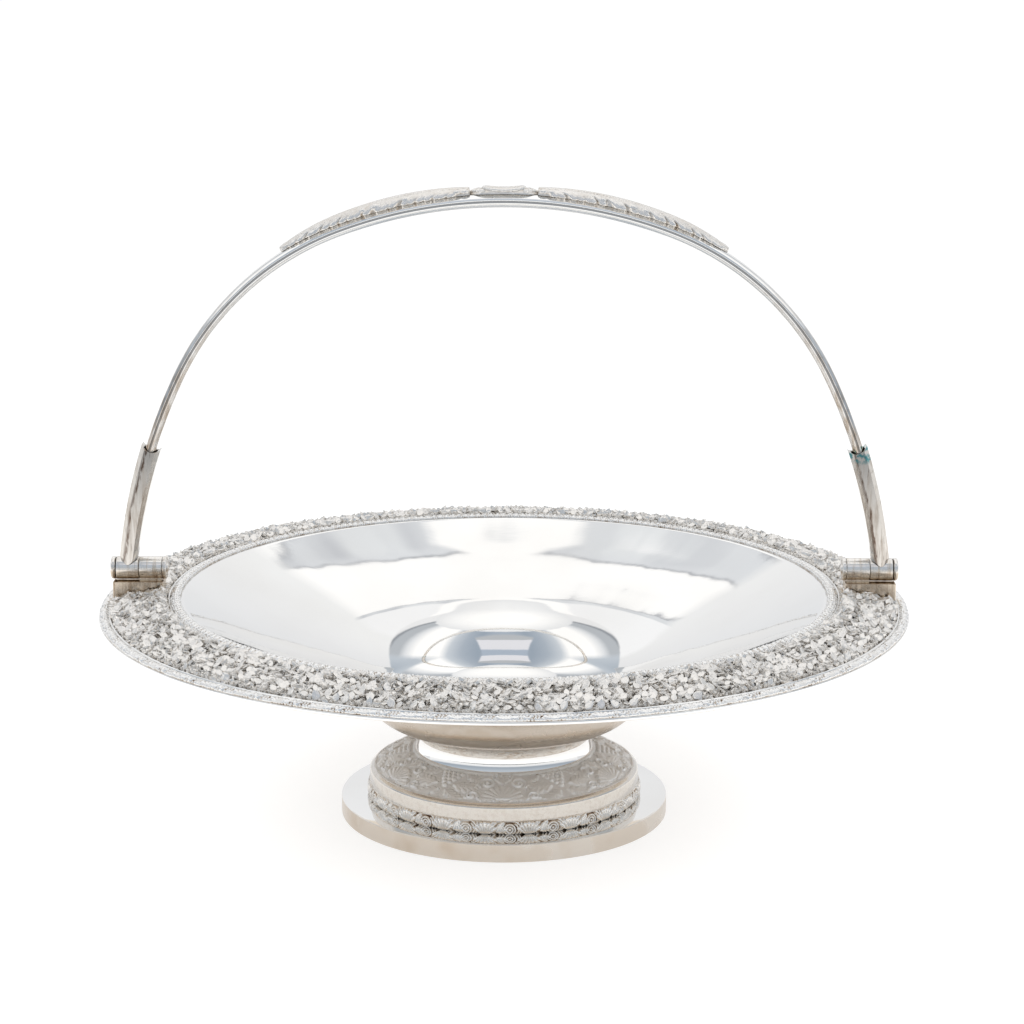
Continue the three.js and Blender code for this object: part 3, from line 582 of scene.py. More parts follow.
def sector(path, back, relief, count, depth):
    """Points, faces and recess of one sector: relief on the path, and plain points behind it."""
    front, t = bent_rings(path, relief, count)
    recess = [relief.recess(depth, 6)]
    rows = [front]
    for r, z in back:
        rows.append(np.stack([r * np.cos(t), r * np.sin(t), z + 0 * t], 1)[None])
        recess.append(np.full((1, len(t)), 0.5))
    rings = np.concatenate(rows)
    points, faces = skin(rings, round_ring=False, round_way=True)
    return points, faces, np.concatenate(recess)


# Geometry Nodes


def new_tree(name, *wanted):
    """An empty tree with its named inputs, and the inputs' sockets."""
    tree = bpy.data.node_groups.new(name, "GeometryNodeTree")
    for word, kind in wanted:
        tree.interface.new_socket(word, in_out="INPUT", socket_type="NodeSocket" + kind)
    tree.interface.new_socket("Piece", in_out="OUTPUT", socket_type="NodeSocketGeometry")
    return tree, add(tree, "NodeGroupInput").outputs


def end_in_finish(tree, piece, given):
    """Ends a tree in its finish."""
    coated = add(tree, "GeometryNodeSetMaterial", {"Geometry": piece, "Material": given["Finish"]})
    add(tree, "NodeGroupOutput", {0: coated})


def repeat_round_axis():
    """The tree that sets copies of a sector round Z and joins them."""
    name = "repeat round the axis"
    if name in bpy.data.node_groups:
        return bpy.data.node_groups[name]
    wanted = (("Sector", "Geometry"), ("Count", "Int"), ("Seam", "Float"), ("Finish", "Material"))
    tree, given = new_tree(name, *wanted)
    places = add(tree, "GeometryNodePoints", {"Count": given["Count"]})
    index = add(tree, "GeometryNodeInputIndex")
    share = add(tree, MATH, {0: index, 1: given["Count"]}, operation="DIVIDE")
    angle = add(tree, MATH, {0: share, 1: math.tau}, operation="MULTIPLY")
    turn = add(tree, "ShaderNodeCombineXYZ", {"Z": angle})
    links = {"Points": places, "Instance": given["Sector"], "Rotation": turn}
    copies = add(tree, "GeometryNodeInstanceOnPoints", links)
    solid = add(tree, "GeometryNodeRealizeInstances", {0: copies})
    whole = add(tree, "GeometryNodeMergeByDistance", {"Geometry": solid, "Distance": given["Seam"]})
    end_in_finish(tree, whole, given)
    return tree


def strew_on_ground():
    """The tree that strews a motif over a ground at a least spacing, each turned and tilted by chance."""
    name = "strew on the ground"
    if name in bpy.data.node_groups:
        return bpy.data.node_groups[name]
    tree, given = new_tree(
        name,
        ("Ground", "Geometry"),
        ("Motif", "Object"),
        ("Spacing", "Float"),
        ("Density", "Float"),
        ("Smallest", "Float"),
        ("Largest", "Float"),
        ("Tilt", "Float"),
        ("Seed", "Int"),
        ("Finish", "Material"),
    )
    spots = {"Mesh": given["Ground"], "Distance Min": given["Spacing"], "Density Max": given["Density"]}
    spots["Seed"] = given["Seed"]
    places = add(tree, "GeometryNodeDistributePointsOnFaces", spots, distribute_method="POISSON")
    back = add(tree, MATH, {0: given["Tilt"], 1: -1.0}, operation="MULTIPLY")
    least = add(tree, "ShaderNodeCombineXYZ", {0: back, 1: back})
    most = add(tree, "ShaderNodeCombineXYZ", {0: given["Tilt"], 1: given["Tilt"], 2: math.tau})
    chance = {0: least, 1: most, "Seed": given["Seed"]}
    spin = add(tree, "FunctionNodeRandomValue", chance, data_type="FLOAT_VECTOR")
    spin = add(tree, "FunctionNodeEulerToRotation", {0: spin})
    settle = {0: places.outputs["Rotation"], 1: spin}
    settled = add(tree, "FunctionNodeRotateRotation", settle, rotation_space="LOCAL")
    bounds = {2: given["Smallest"], 3: given["Largest"], "Seed": given["Seed"]}
    size = add(tree, "FunctionNodeRandomValue", bounds, data_type="FLOAT")
    motif = add(tree, "GeometryNodeObjectInfo", {0: given["Motif"]}).outputs["Geometry"]
    links = {"Points": places, "Instance": motif, "Rotation": settled, "Scale": size}
    copies = add(tree, "GeometryNodeInstanceOnPoints", links)
    end_in_finish(tree, add(tree, "GeometryNodeRealizeInstances", {0: copies}), given)
    return tree


def grown(made, tree, **given):
    """Runs an object's mesh through a tree, and keeps the result as its plain mesh."""
    step = made.modifiers.new("grown", "NODES")
    step.node_group = tree
    for item in tree.interface.items_tree:
        if item.name in given:
            step[item.identifier] = given[item.name]
    graph = bpy.context.evaluated_depsgraph_get()
    result = made.evaluated_get(graph)
    grown_mesh = bpy.data.meshes.new_from_object(result, preserve_all_data_layers=True, depsgraph=graph)
    made.modifiers.clear()
    made.data = grown_mesh
    return made


def ringed(name, path, back, relief, count, depth, coat, stands_for, **more):
    """A whole relief ring from its sector."""
    points, faces, recess = sector(path, back, relief, count, depth)
    made = raw(name, points, faces, recess)
    grown(made, repeat_round_axis(), Count=count, Seam=2e-6, Finish=finish(coat))
    return finished(made, coat, stands_for, **more)


# The handle's middle line, with the crown and leg radii that follow from its span and rise


def arch_line():
    """A function of the distance from the crown: the place and the way out, as (x, z) pairs."""
    rise, haunch = 137.3, 108.3
    crown_angle, haunch_angle, leg_angle = (math.radians(a) for a in (20.8, 63.9, 84))
    s1, s2, s3 = (math.sin(a) for a in (crown_angle, haunch_angle, leg_angle))
    c1, c2, c3 = (math.cos(a) for a in (crown_angle, haunch_angle, leg_angle))
    foot = RIM_R - 9.8
    span, drop = foot - haunch * (s2 - s1), rise - haunch * (c1 - c2)
    spread = s1 * (c2 - c3) - (s3 - s2) * (1 - c1)
    crown = (span * (c2 - c3) - drop * (s3 - s2)) / spread
    leg = (s1 * drop - (1 - c1) * span) / spread
    first = crown * crown_angle
    second = first + haunch * (haunch_angle - crown_angle)
    third = second + leg * (leg_angle - haunch_angle)

    def on_arch(distance):
        s, side = abs(distance), -1 if distance < 0 else 1
        x, z, angle = 0.0, rise, 0.0
        for radius, length in ((crown, min(s, first)), (haunch, min(s, second) - first), (leg, s - second)):
            if length <= 0:
                break
            on = angle + length / radius
            x += radius * (math.sin(on) - math.sin(angle))
            z -= radius * (math.cos(angle) - math.cos(on))
            angle = on
        return np.array([side * x, AXIS_Z + z]), np.array([side * math.sin(angle), math.cos(angle)])

    return on_arch, third


ON_ARCH, LEG_LENGTH = arch_line()
ARM_L = 48.0


def strap_size(distance):
    """Width and thickness of the strap, which is widest at the crown."""
    crown_width, crown_thickness = 9.6, 5
    socket_width, socket_thickness = 6, 3.8
    t = min(abs(distance) / (LEG_LENGTH - ARM_L), 1)
    width = crown_width + (socket_width - crown_width) * t
    return width, crown_thickness + (socket_thickness - crown_thickness) * t


def across_arch(distance, section, lift=0.0):
    """A section of (y, out) millimetres, set across the arch."""
    middle, out = ON_ARCH(distance)
    section = np.asarray(section, float)
    ring = middle + (lift + section[:, 1:]) * out
    return np.stack([ring[:, 0], section[:, 0], ring[:, 1]], 1)


def cast_on_strap(node, relief, columns, half_width, height, recess):
    """A closed casting along the strap. Each column has its distance, its swell and its relief."""
    theta = np.linspace(-math.pi / 2, math.pi / 2, len(relief.h))
    rings = []
    for distance, swell, h in columns:
        back = [(half_width * swell + h) * np.sin(theta), (height * swell + h) * np.cos(theta)]
        rings.append(across_arch(distance, np.stack(back, 1), strap_size(distance)[1] / 2 + 0.1))
    points, faces = skin(rings, capped=True)
    made = raw(f"{node}_cast", points, faces, recess.T.ravel() * 0.9 - 0.1)
    finished(made, "cast silver", [node], body="handle", angle=60)


# What the user can change


def length(name, description, millimetres):
    """A length property, whose default is given in millimetres."""
    about = {"name": name, "description": description, "default": millimetres * MM}
    return FloatProperty(**about, min=0, unit="LENGTH", precision=5)


def colour(name, description, code):
    """A colour property, whose default is given as a hex code."""
    about = {"name": name, "description": description, "default": linear(code)}
    return FloatVectorProperty(**about, size=4, min=0, max=1, subtype="COLOR")


class BasketSizes(bpy.types.PropertyGroup):
    """Sizes of the ornament"""
    flower: length("Flower", "Width of the flowers on the rim", 5.6)
    flower_spacing: length("Flower spacing", "Least distance between two flowers", 7.6)
    pointed: length("Pointed petal", "Length of the pointed petals on the rim", 2.9)
    pointed_spacing: length("Pointed petal spacing", "Least distance between two pointed petals", 2.0)
    small: length("Small petal", "Length of the small petals that fill the rim", 1.5)
    small_spacing: length("Small petal spacing", "Least distance between two small petals", 1.5)
    chasing: length("Chasing height", "Height of the chased forms on the foot", 0.75)
    seed: IntProperty(name="Seed", description="Start of the chance that strews the flowers", default=7)


class BasketColours(bpy.types.PropertyGroup):
    """Colours of the silver, from freshly wiped to its deepest patina"""
    bright: colour("Bright silver", "Freshly wiped silver", "#F7F6F4")
    worn: colour("Worn silver", "Silver with a thin tarnish", "#DCD7D0")
    cream: colour("Cream tarnish", "The first yellow of tarnish", "#D5CABC")
    # Amber on the lower half of the hinges: tarnish with painted warm reflection and shade.
    amber_and_reflection: colour("Amber tarnish", "Warm tarnish under the hinges", "#D3C5B3")
    tan: colour("Tan tarnish", "Heavier tarnish", "#B6A38E")
    brown: colour("Brown patina", "Sulphide left in the deepest recesses", "#5E4737")
    verdigris: colour("Verdigris", "Copper bloom in the mouth of the socket", "#1F8E96")


class BASKET_OT_plinth(bpy.types.Operator):
    """The plain disc that the basket stands on, polished on top and worn at its edge"""
    bl_idname = "basket.plinth"
    bl_label = "Plinth"
    bl_options = {"REGISTER", "UNDO"}

    def execute(self, context):
        rest, wall, inside = PLINTH_R - 3.5, PLINTH_R - SHEET, 42.0
        under = PLINTH_TOP - SHEET
        top = [(rest, 0), (PLINTH_R, 0), (PLINTH_R, PLINTH_TOP), (inside, PLINTH_TOP)]
        underside = [(inside, under), (wall, under), (wall, SHEET), (rest, SHEET)]

        def below_top(polygon):
            return polygon.center.z < (PLINTH_TOP - 0.15) * MM

        outline = rounded(top + underside, 0.35)
        made = raw("base_plinth_spun", *spun(outline, 256))
        coats = {"second": "tarnished silver", "second_faces": below_top}
        finished(made, "polished silver", ["base_plinth"], angle=30, **coats)
        return {"FINISHED"}


class BASKET_OT_foot_border(bpy.types.Operator):
    """Cast ring of roundels, shells and nested arcs under the foot"""
    bl_idname = "basket.foot_border"
    bl_label = "Foot border"
    bl_options = {"REGISTER", "UNDO"}

    def execute(self, context):
        count, middle_r, breadth = 20, 51, 6.6
        t = np.linspace(0, 1, 9)[:, None]
        crest = np.array([50.3, BORDER_TOP])
        belly = np.array([BORDER_R - 0.55, 8.8])
        seat = np.array([48.9, PLINTH_TOP])
        high = np.array([BORDER_R - 0.5, BORDER_TOP])
        low = np.array([BORDER_R - 0.5, PLINTH_TOP])
        path = np.concatenate([
            (1 - t) ** 2 * crest + 2 * t * (1 - t) * high + t * t * belly,
            ((1 - t) ** 2 * belly + 2 * t * (1 - t) * low + t * t * seat)[1:],
        ])
        relief = Relief(math.tau * middle_r / count, breadth, 0.2)
        self.cut(relief)
        back = [(46.5, PLINTH_TOP), (45.5, PLINTH_TOP), (45.5, BORDER_TOP), (48.5, BORDER_TOP)]
        ringed("foot_border_cast", path, back, relief, count, 0.42, "cast silver", ["foot_border"], angle=60)
        return {"FINISHED"}

    def cut(self, relief):
        """One period: a roundel, a shell, and nested arcs that fill what is left."""
        middle, roundel, shell = 3.3, 2.6, 9.6
        full, half = np.linspace(0, math.tau, 50), np.linspace(-1.15, 1.15, 30)
        for radius in (1.95, 1.1):
            relief.rise(oval((roundel, middle), radius, radius, full), 0.36, 0.5)
        relief.rise([(roundel, middle)], 0.55, 0.5)
        arcs = ((3.9, 0.0), (1.3, math.pi), (13.9, math.pi), (shell - 1.2, 0.0), (shell + 1.2, math.pi))
        for at, way in arcs:
            for radius in (1.9, 2.75):
                relief.rise(oval((at, middle), radius, radius * 1.1, half + way), 0.32, 0.42)
        relief.fan((shell, 5.9), -math.pi / 2, 1.75, 4.9, 7, 0.55)
        relief.fan((15.2, 0.7), math.pi / 2, 1.3, 3.4, 5, 0.45)
        for u in (0.3, 5.6, 6.9, 12.4, 13.4):
            for v in (0.95, 5.7):
                relief.rise([(u, v)], 0.5, 0.4)
        edge = np.linspace(0, relief.length, 90)
        for v, height in ((0.25, 0.3), (6.35, 0.2)):
            relief.rise(np.stack([edge, np.full(90, v)], 1), 0.3, height)


class BASKET_OT_foot_dome(bpy.types.Operator):
    """The spun foot: a plain upright flange under a field of chased grapes, vine leaves and scrolls"""
    bl_idname = "basket.foot_dome"
    bl_label = "Foot dome"
    bl_options = {"REGISTER", "UNDO"}

    def execute(self, context):
        count, middle_r, inner, thickness = 6, 41, 30.7, 1.1
        height = context.scene.basket_sizes.chasing / MM
        flange_top, knee = 16.7, (41.5, 20.9)
        top, end = np.array([DOME_INNER_R, DOME_TOP]), np.array([FLANGE_R, flange_top])
        swell, outwards = 0.9, np.array([0.4, 0.916])
        t = np.linspace(0, 1, 40)[:, None]
        crowned = (1 - t) * top + t * end + 4 * swell * t * (1 - t) * outwards
        path = np.concatenate([[(inner, DOME_TOP)], crowned[:-1], [end, (FLANGE_R, BORDER_TOP)]])
        corner = len(path) - 2
        path = np.concatenate([path[:corner], rounded(path[corner - 1 :], 1.3, 6, closed=False)[1:]])
        run = np.linalg.norm(np.diff(path, axis=0), axis=1).sum()
        relief = Relief(math.tau * middle_r / count, run, 0.3)
        self.chase(relief, height)
        inside = FLANGE_R - thickness
        under = [(inside, BORDER_TOP), (inside, flange_top - 0.9), (knee[0], knee[1] - 0.7)]
        under += [(DOME_INNER_R, DOME_TOP - thickness), (inner, DOME_TOP - thickness)]

        def plain(polygon):
            return not 33.4 * MM < math.hypot(*polygon.center[:2]) < (FLANGE_R - 0.9) * MM

        name, depth, coat = "foot_dome_chased", height * 1.3, "chased silver"
        coats = {"second": "satin silver", "second_faces": plain}
        ringed(name, path, under, relief, count, depth, coat, ["foot_dome"], angle=50, **coats)
        return {"FINISHED"}

    def chase(self, relief, height):
        """Half a period is chased, and its mirror image fills the other half."""
        first, last, half = 3.3, 19.0, relief.length / 2
        edge = np.linspace(0, relief.length, 120)
        for at, width in ((first, 0.45), (last, 0.4)):
            relief.rise(np.stack([edge, np.full(120, at)], 1), width, height * 0.8)
        grape, across, down = 1.05, 2.05, 1.75
        for row in range(5):
            for i in range(5 - row):
                relief.rise([((i - (4 - row) / 2) * across, 5.2 + row * down)], grape, height * 1.15)
        relief.fan((half, 17.4), -math.pi / 2, 2.5, 6.2, 9, height * 1.1)
        relief.leaf((half, 10.2), -math.pi / 2, 6.0, 5.0, height, 3)
        leaves = (
            (3.2, 11.8, 0.1, 8.6, 6.6, 1.0, -0.25),
            (1.0, 14.6, 0.5, 7.8, 4.4, 0.9, 0.2),
            (6.2, 5.2, 0.35, 7.2, 3.8, 0.9, 0.3),
        )
        scrolls = (
            (15.6, 9.0, 3.3, 1.5, 2.4, 0.62, 1.0),
            (11.2, 15.9, 2.1, -1.4, 0.4, 0.5, 1.0),
            (19.0, 5.6, 1.5, 1.2, 1.2, 0.42, 0.9),
        )
        berries = ((9.2, 16.9), (10.0, 4.4), (17.6, 4.3), (17.8, 13.2), (7.0, 17.6), (12.4, 12.2))
        for side in (-1, 1):
            def mirrored(angle):
                return angle if side > 0 else math.pi - angle

            for u, v, angle, reach_out, width, share, bend in leaves:
                relief.leaf((side * u, v), mirrored(angle), reach_out, width, height * share, 4, bend * side)
            for u, v, radius, turns, start, width, share in scrolls:
                relief.scroll((side * u, v), radius, turns * side, mirrored(start), width, height * share)
            relief.leaf((side * 13.0, 17.4), mirrored(-0.05), 6.4, 3.0, height * 0.9, 4)
            for u, v in berries:
                relief.rise([(side * u, v)], 0.6, height * 0.8)
        ground = (relief.v > first) & (relief.v < last)
        matting = np.random.default_rng(3).random(relief.h.shape)
        relief.h = np.where(ground, np.maximum(relief.h, 0.16 * height * matting), height * 0.9)


class BASKET_OT_neck(bpy.types.Operator):
    """The polished cove that carries the bowl"""
    bl_idname = "basket.neck"
    bl_label = "Neck"
    bl_options = {"REGISTER", "UNDO"}

    def execute(self, context):
        thickness, collar_height = 1.1, 3.6
        foot, flare = np.array([DOME_INNER_R, DOME_TOP + 0.1]), math.radians(24)
        lean = np.linspace(flare, math.radians(-19), 30)
        radius = (NECK_TOP - foot[1]) / (math.sin(lean[0]) - math.sin(lean[-1]))
        along = np.stack([math.cos(flare) - np.cos(lean), math.sin(flare) - np.sin(lean)], 1)
        outside = foot + radius * along
        inside = outside - np.array([thickness, 0.0])
        inside[0] = (31.2, foot[1])
        outline = np.concatenate([outside, rounded(inside[::-1], 0.1, 1, closed=False)])

        def collar(polygon):
            return polygon.center.z > (NECK_TOP - collar_height) * MM

        made = raw("foot_neck_spun", *spun(outline, 256))
        finished(made, "polished silver", ["foot_neck"], second="scuffed silver", second_faces=collar)
        return {"FINISHED"}


class BASKET_OT_bowl(bpy.types.Operator):
    """The spun bowl, mirror polished inside and yellowed underneath, and the sloping flange of its rim"""
    bl_idname = "basket.bowl"
    bl_label = "Bowl"
    bl_options = {"REGISTER", "UNDO"}

    def execute(self, context):
        floor_centre = np.array([0.0, BOWL_UNDER + SHEET + FLOOR_ARC])
        well_centre = on_arc(floor_centre, FLOOR_ARC - WELL_ARC, FLOOR_ANGLE)
        flare_centre = on_arc(well_centre, WELL_ARC + FLARE_ARC, WELL_SLOPE)
        floor = on_arc(floor_centre, FLOOR_ARC, np.linspace(0, FLOOR_ANGLE, 32))
        well = on_arc(well_centre, WELL_ARC, np.linspace(FLOOR_ANGLE, WELL_SLOPE, 20))
        flare = on_arc(flare_centre, -FLARE_ARC, np.linspace(WELL_SLOPE, WALL_SLOPE, 20))
        wall = self.wall(flare[-1])
        edge = np.array([[BOWL_EDGE_R, rim_z(BOWL_EDGE_R)]])
        inside = np.concatenate([floor, well[1:], flare[1:], wall[1:], edge])
        normal = np.gradient(inside, axis=0)
        normal = np.stack([normal[:, 1], -normal[:, 0]], 1) / np.linalg.norm(normal, axis=1)[:, None]
        outside = inside + SHEET * normal
        outside[0, 0] = 0
        outside[-1] = (BOWL_EDGE_R, rim_z(BOWL_EDGE_R) - SHEET_ON_SLOPE)
        corner = len(inside) - 2
        inside = np.concatenate([inside[:corner], rounded(inside[corner - 1 :], 1.6, 6, closed=False)[1:]])
        outline = np.concatenate([inside, outside[::-1]])
        made = raw("bowl_spun", *spun(outline, 256))
        coats = {"second": "tarnished silver", "second_faces": lambda polygon: polygon.normal.z < 0}
        finished(made, "polished silver", ["bowl"], angle=40, **coats)
        self.flange()
        return {"FINISHED"}

    def wall(self, foot):
        """The wall is a touch steeper near the rim, as its mirror shows."""
        r = np.linspace(foot[0], SHOULDER_R, 60)
        lean = np.interp(
            r,
            (foot[0], 70.0, 71.0, 78, 82, 86, 93, 105, SHOULDER_R),
            (28.5, 27.0, 23.8, 23.6, 23.8, 23.6, 23.8, 26.3, 26.4),
        )
        rise = np.concatenate([[0], np.cumsum(np.tan(np.radians(lean[1:] + lean[:-1]) / 2) * np.diff(r))])
        return np.stack([r, foot[1] + rise * (SHOULDER_Z - foot[1]) / rise[-1]], 1)

    def flange(self):
        """The sloping ring that carries the rim's ornament."""
        corners = ((RIM_INNER_R, SHEET_ON_SLOPE), (RIM_R, SHEET_ON_SLOPE), (RIM_R, 0), (RIM_INNER_R, 0))
        outline = rounded([(r, rim_z(r) - down) for r, down in corners], 0.35, 5)
        made = raw("rim_flange_spun", *spun(outline, 320))
        coats = {"second": "tarnished silver", "second_faces": lambda polygon: polygon.normal.z < -0.3}
        finished(made, "polished silver", ["rim_flange"], **coats)


class BASKET_OT_rim_wires(bpy.types.Operator):
    """The two plain wires beside the flowers"""
    bl_idname = "basket.rim_wires"
    bl_label = "Rim wires"
    bl_options = {"REGISTER", "UNDO"}

    def execute(self, context):
        half_width, height = 0.55, 1.1
        for name, inner in (("rim_inner_wire", 123.8), ("rim_outer_wire", 145.6)):
            a = np.linspace(0, math.pi, 9)
            r = inner + half_width * (1 - np.cos(a))
            outline = np.stack([r, rim_z(r) + 0.1 + height * np.sin(a)], 1)
            finished(raw(f"{name}_drawn", *spun(outline, 320)), "polished silver", [name], angle=60)
        return {"FINISHED"}


class BASKET_OT_rim_borders(bpy.types.Operator):
    """The narrow cast borders: small leaves inside the rim, shells and scrolls at its edge"""
    bl_idname = "basket.rim_borders"
    bl_label = "Rim borders"
    bl_options = {"REGISTER", "UNDO"}

    def execute(self, context):
        leaves = {"inner": 120.2, "width": 3.5, "rise": 1.0, "count": 72}
        self.moulding("rim_inner_border", self.small_leaves, **leaves)
        shells = {"inner": 146.85, "width": 2.75, "rise": 0.95, "count": 60}
        self.moulding("rim_outer_border", self.shells, **shells)
        return {"FINISHED"}

    def moulding(self, name, cut, inner, width, rise, count):
        """A half-round border with its relief, which dies away at both its edges."""
        a = np.linspace(math.pi, 0, 33)
        r = inner + width / 2 * (1 + np.cos(a))
        path = np.stack([r, rim_z(r) + 0.1 + rise * np.sin(a)], 1)
        run = np.linalg.norm(np.diff(path, axis=0), axis=1).sum()
        relief = Relief(math.tau * (inner + width / 2) / count, run, 0.22)
        cut(relief)
        relief.h *= np.clip(np.minimum(relief.v, run - relief.v) / 0.3, 0, 1)
        back = [(r, rim_z(r, 0.02)) for r in (inner + width, inner)]
        ringed(f"{name}_cast", path, back, relief, count, 0.5, "wiped cast silver", [name], angle=60)

    def small_leaves(self, relief):
        """Leaf tips along the bowl, closely set with small beads."""
        chance = np.random.default_rng(4)
        columns = round(relief.length / 0.96)
        for row, v in enumerate(np.arange(0.5, relief.breadth - 0.3, 0.78)):
            for i in range(columns):
                u = (i + row % 2 / 2) * relief.length / columns
                relief.rise([(u, v + chance.uniform(-0.15, 0.15))], 0.45, chance.uniform(0.15, 0.65))
        for i in range(4):
            u = (i + 0.5) * relief.length / 4
            relief.rise([(u, 1.4), (u, 2.2), (u, 3.0)], [0.4, 0.7, 0.45], 0.6)

    def shells(self, relief):
        """A shell, scrolls, a leaf and nested arcs that fill the edge from side to side."""
        middle, depth = relief.breadth / 2, relief.breadth * 0.5
        relief.fan((2.2, middle + 1.7), -math.pi / 2, 2.2, 3.2, 5, 0.55)
        for at, side in ((5.0, 1), (7.0, -1), (9.0, 1)):
            arc = np.linspace(-0.3, 3.6, 24)
            relief.rise(oval((at, middle - side * 0.3), 1.15, side * 1.25, arc), 0.48, 0.55)
            relief.rise([(at, middle - side * 0.3)], 0.55, 0.55)
            relief.rise([(at, middle - side * 1.6)], 0.6, 0.4)
        for u, lean in ((10.8, 0.5), (11.9, 0.35), (13.0, 0.2)):
            for side in (-1, 1):
                knee, tip = middle + side * depth * 0.5, middle + side * depth * 0.85
                relief.rise([(u, middle), (u + 0.9, knee), (u + 1.1 + lean, tip)], [0.4, 0.5, 0.55], 0.5)
        relief.rise([(10.4, middle), (14.8, middle)], 0.35, 0.6)
        for i in range(14):
            relief.rise([(i * relief.length / 14, 0.5)], 0.5, 0.35)
            relief.rise([((i + 0.5) * relief.length / 14, relief.breadth - 0.5)], 0.5, 0.35)
        for v in (middle - 1.0, middle + 1.0):
            relief.rise([(0.0, v)], 0.6, 0.45)


def petal(size, width, lift, cup, sides=8, turn=0.0, root=0.1):
    """A cupped petal, round at its tip and narrow at its root, that lies along x from the middle."""
    t = np.linspace(0, math.tau, sides, endpoint=False)
    along = (1 - np.cos(t)) / 2
    x = size * (root + (1 - root) * along)
    y = np.sign(np.sin(t)) * width / 2 * np.clip(np.sin(math.pi * along**1.45), 0, 1) ** 0.62
    top = lift * (0.45 + 0.55 * along)
    centre = x.mean()
    rings = []
    for k, level in ((1.04, 0 * top - 0.5), (1.0, top), (0.66, top - cup)):
        rings.append(np.stack([centre + (x - centre) * k, y * k, level], 1))
    points, faces = skin(rings)
    points = np.concatenate([points, [[centre, 0, (top - cup * 1.3).mean()]]])
    faces += [[2 * sides + i, 2 * sides + (i + 1) % sides, 3 * sides] for i in range(sides)]
    c, s = math.cos(turn), math.sin(turn)
    return points @ np.array([[c, s, 0], [-s, c, 0], [0, 0, 1]]), faces


def flower(size, petals=5):
    """A blossom: cupped petals round a button."""
    half = size / 2
    wide = 2 * half * math.sin(math.pi / petals) * 0.94
    lobes = [petal(half, wide, 1.15, 0.3, 8, math.tau * i / petals) for i in range(petals)]
    a = np.linspace(0, math.tau, 6, endpoint=False)
    steps = ((0.62, 0.2), (0.6, 1.0), (0.3, 1.3), (0.02, 1.35))
    return joined(*lobes, skin([np.stack([r * np.cos(a), r * np.sin(a), 0 * a + z], 1) for r, z in steps]))


def pointed_petal(size, width, lift):
    """A petal that stands up from its root to a point, with a sunk middle and a raised edge."""
    foot, edge, middle = -0.9, 0.16, -0.02
    profile = ((-1, foot), (-1, 0), (-0.55, edge), (0, middle), (0.55, edge), (1, 0), (1, foot))
    t = np.linspace(0, 1, 6)
    half = width / 2 * np.sin(math.pi * np.clip(t * 0.86 + 0.12, 0, 0.985)) ** 0.8
    rows = []
    for x, w, z in zip((t - 0.4) * size, half, lift * (0.2 + 0.8 * t)):
        rows.append([(x, w * across, z + up) for across, up in profile])
    return skin(rows, capped=True)


def heap_recess(made, low, high):
    """Marks how deep each point lies in the heap, from its height over the rim."""
    deepest = 0.46
    places = np.empty(len(made.data.vertices) * 3)
    made.data.vertices.foreach_get("co", places)
    x, y, z = places.reshape(-1, 3).T / MM
    height = z - rim_z(np.hypot(x, y))
    recess = made.data.attributes.new("recess", "FLOAT", "POINT")
    recess.data.foreach_set("value", deepest - deepest * np.clip((height - low) / (high - low), 0, 1))


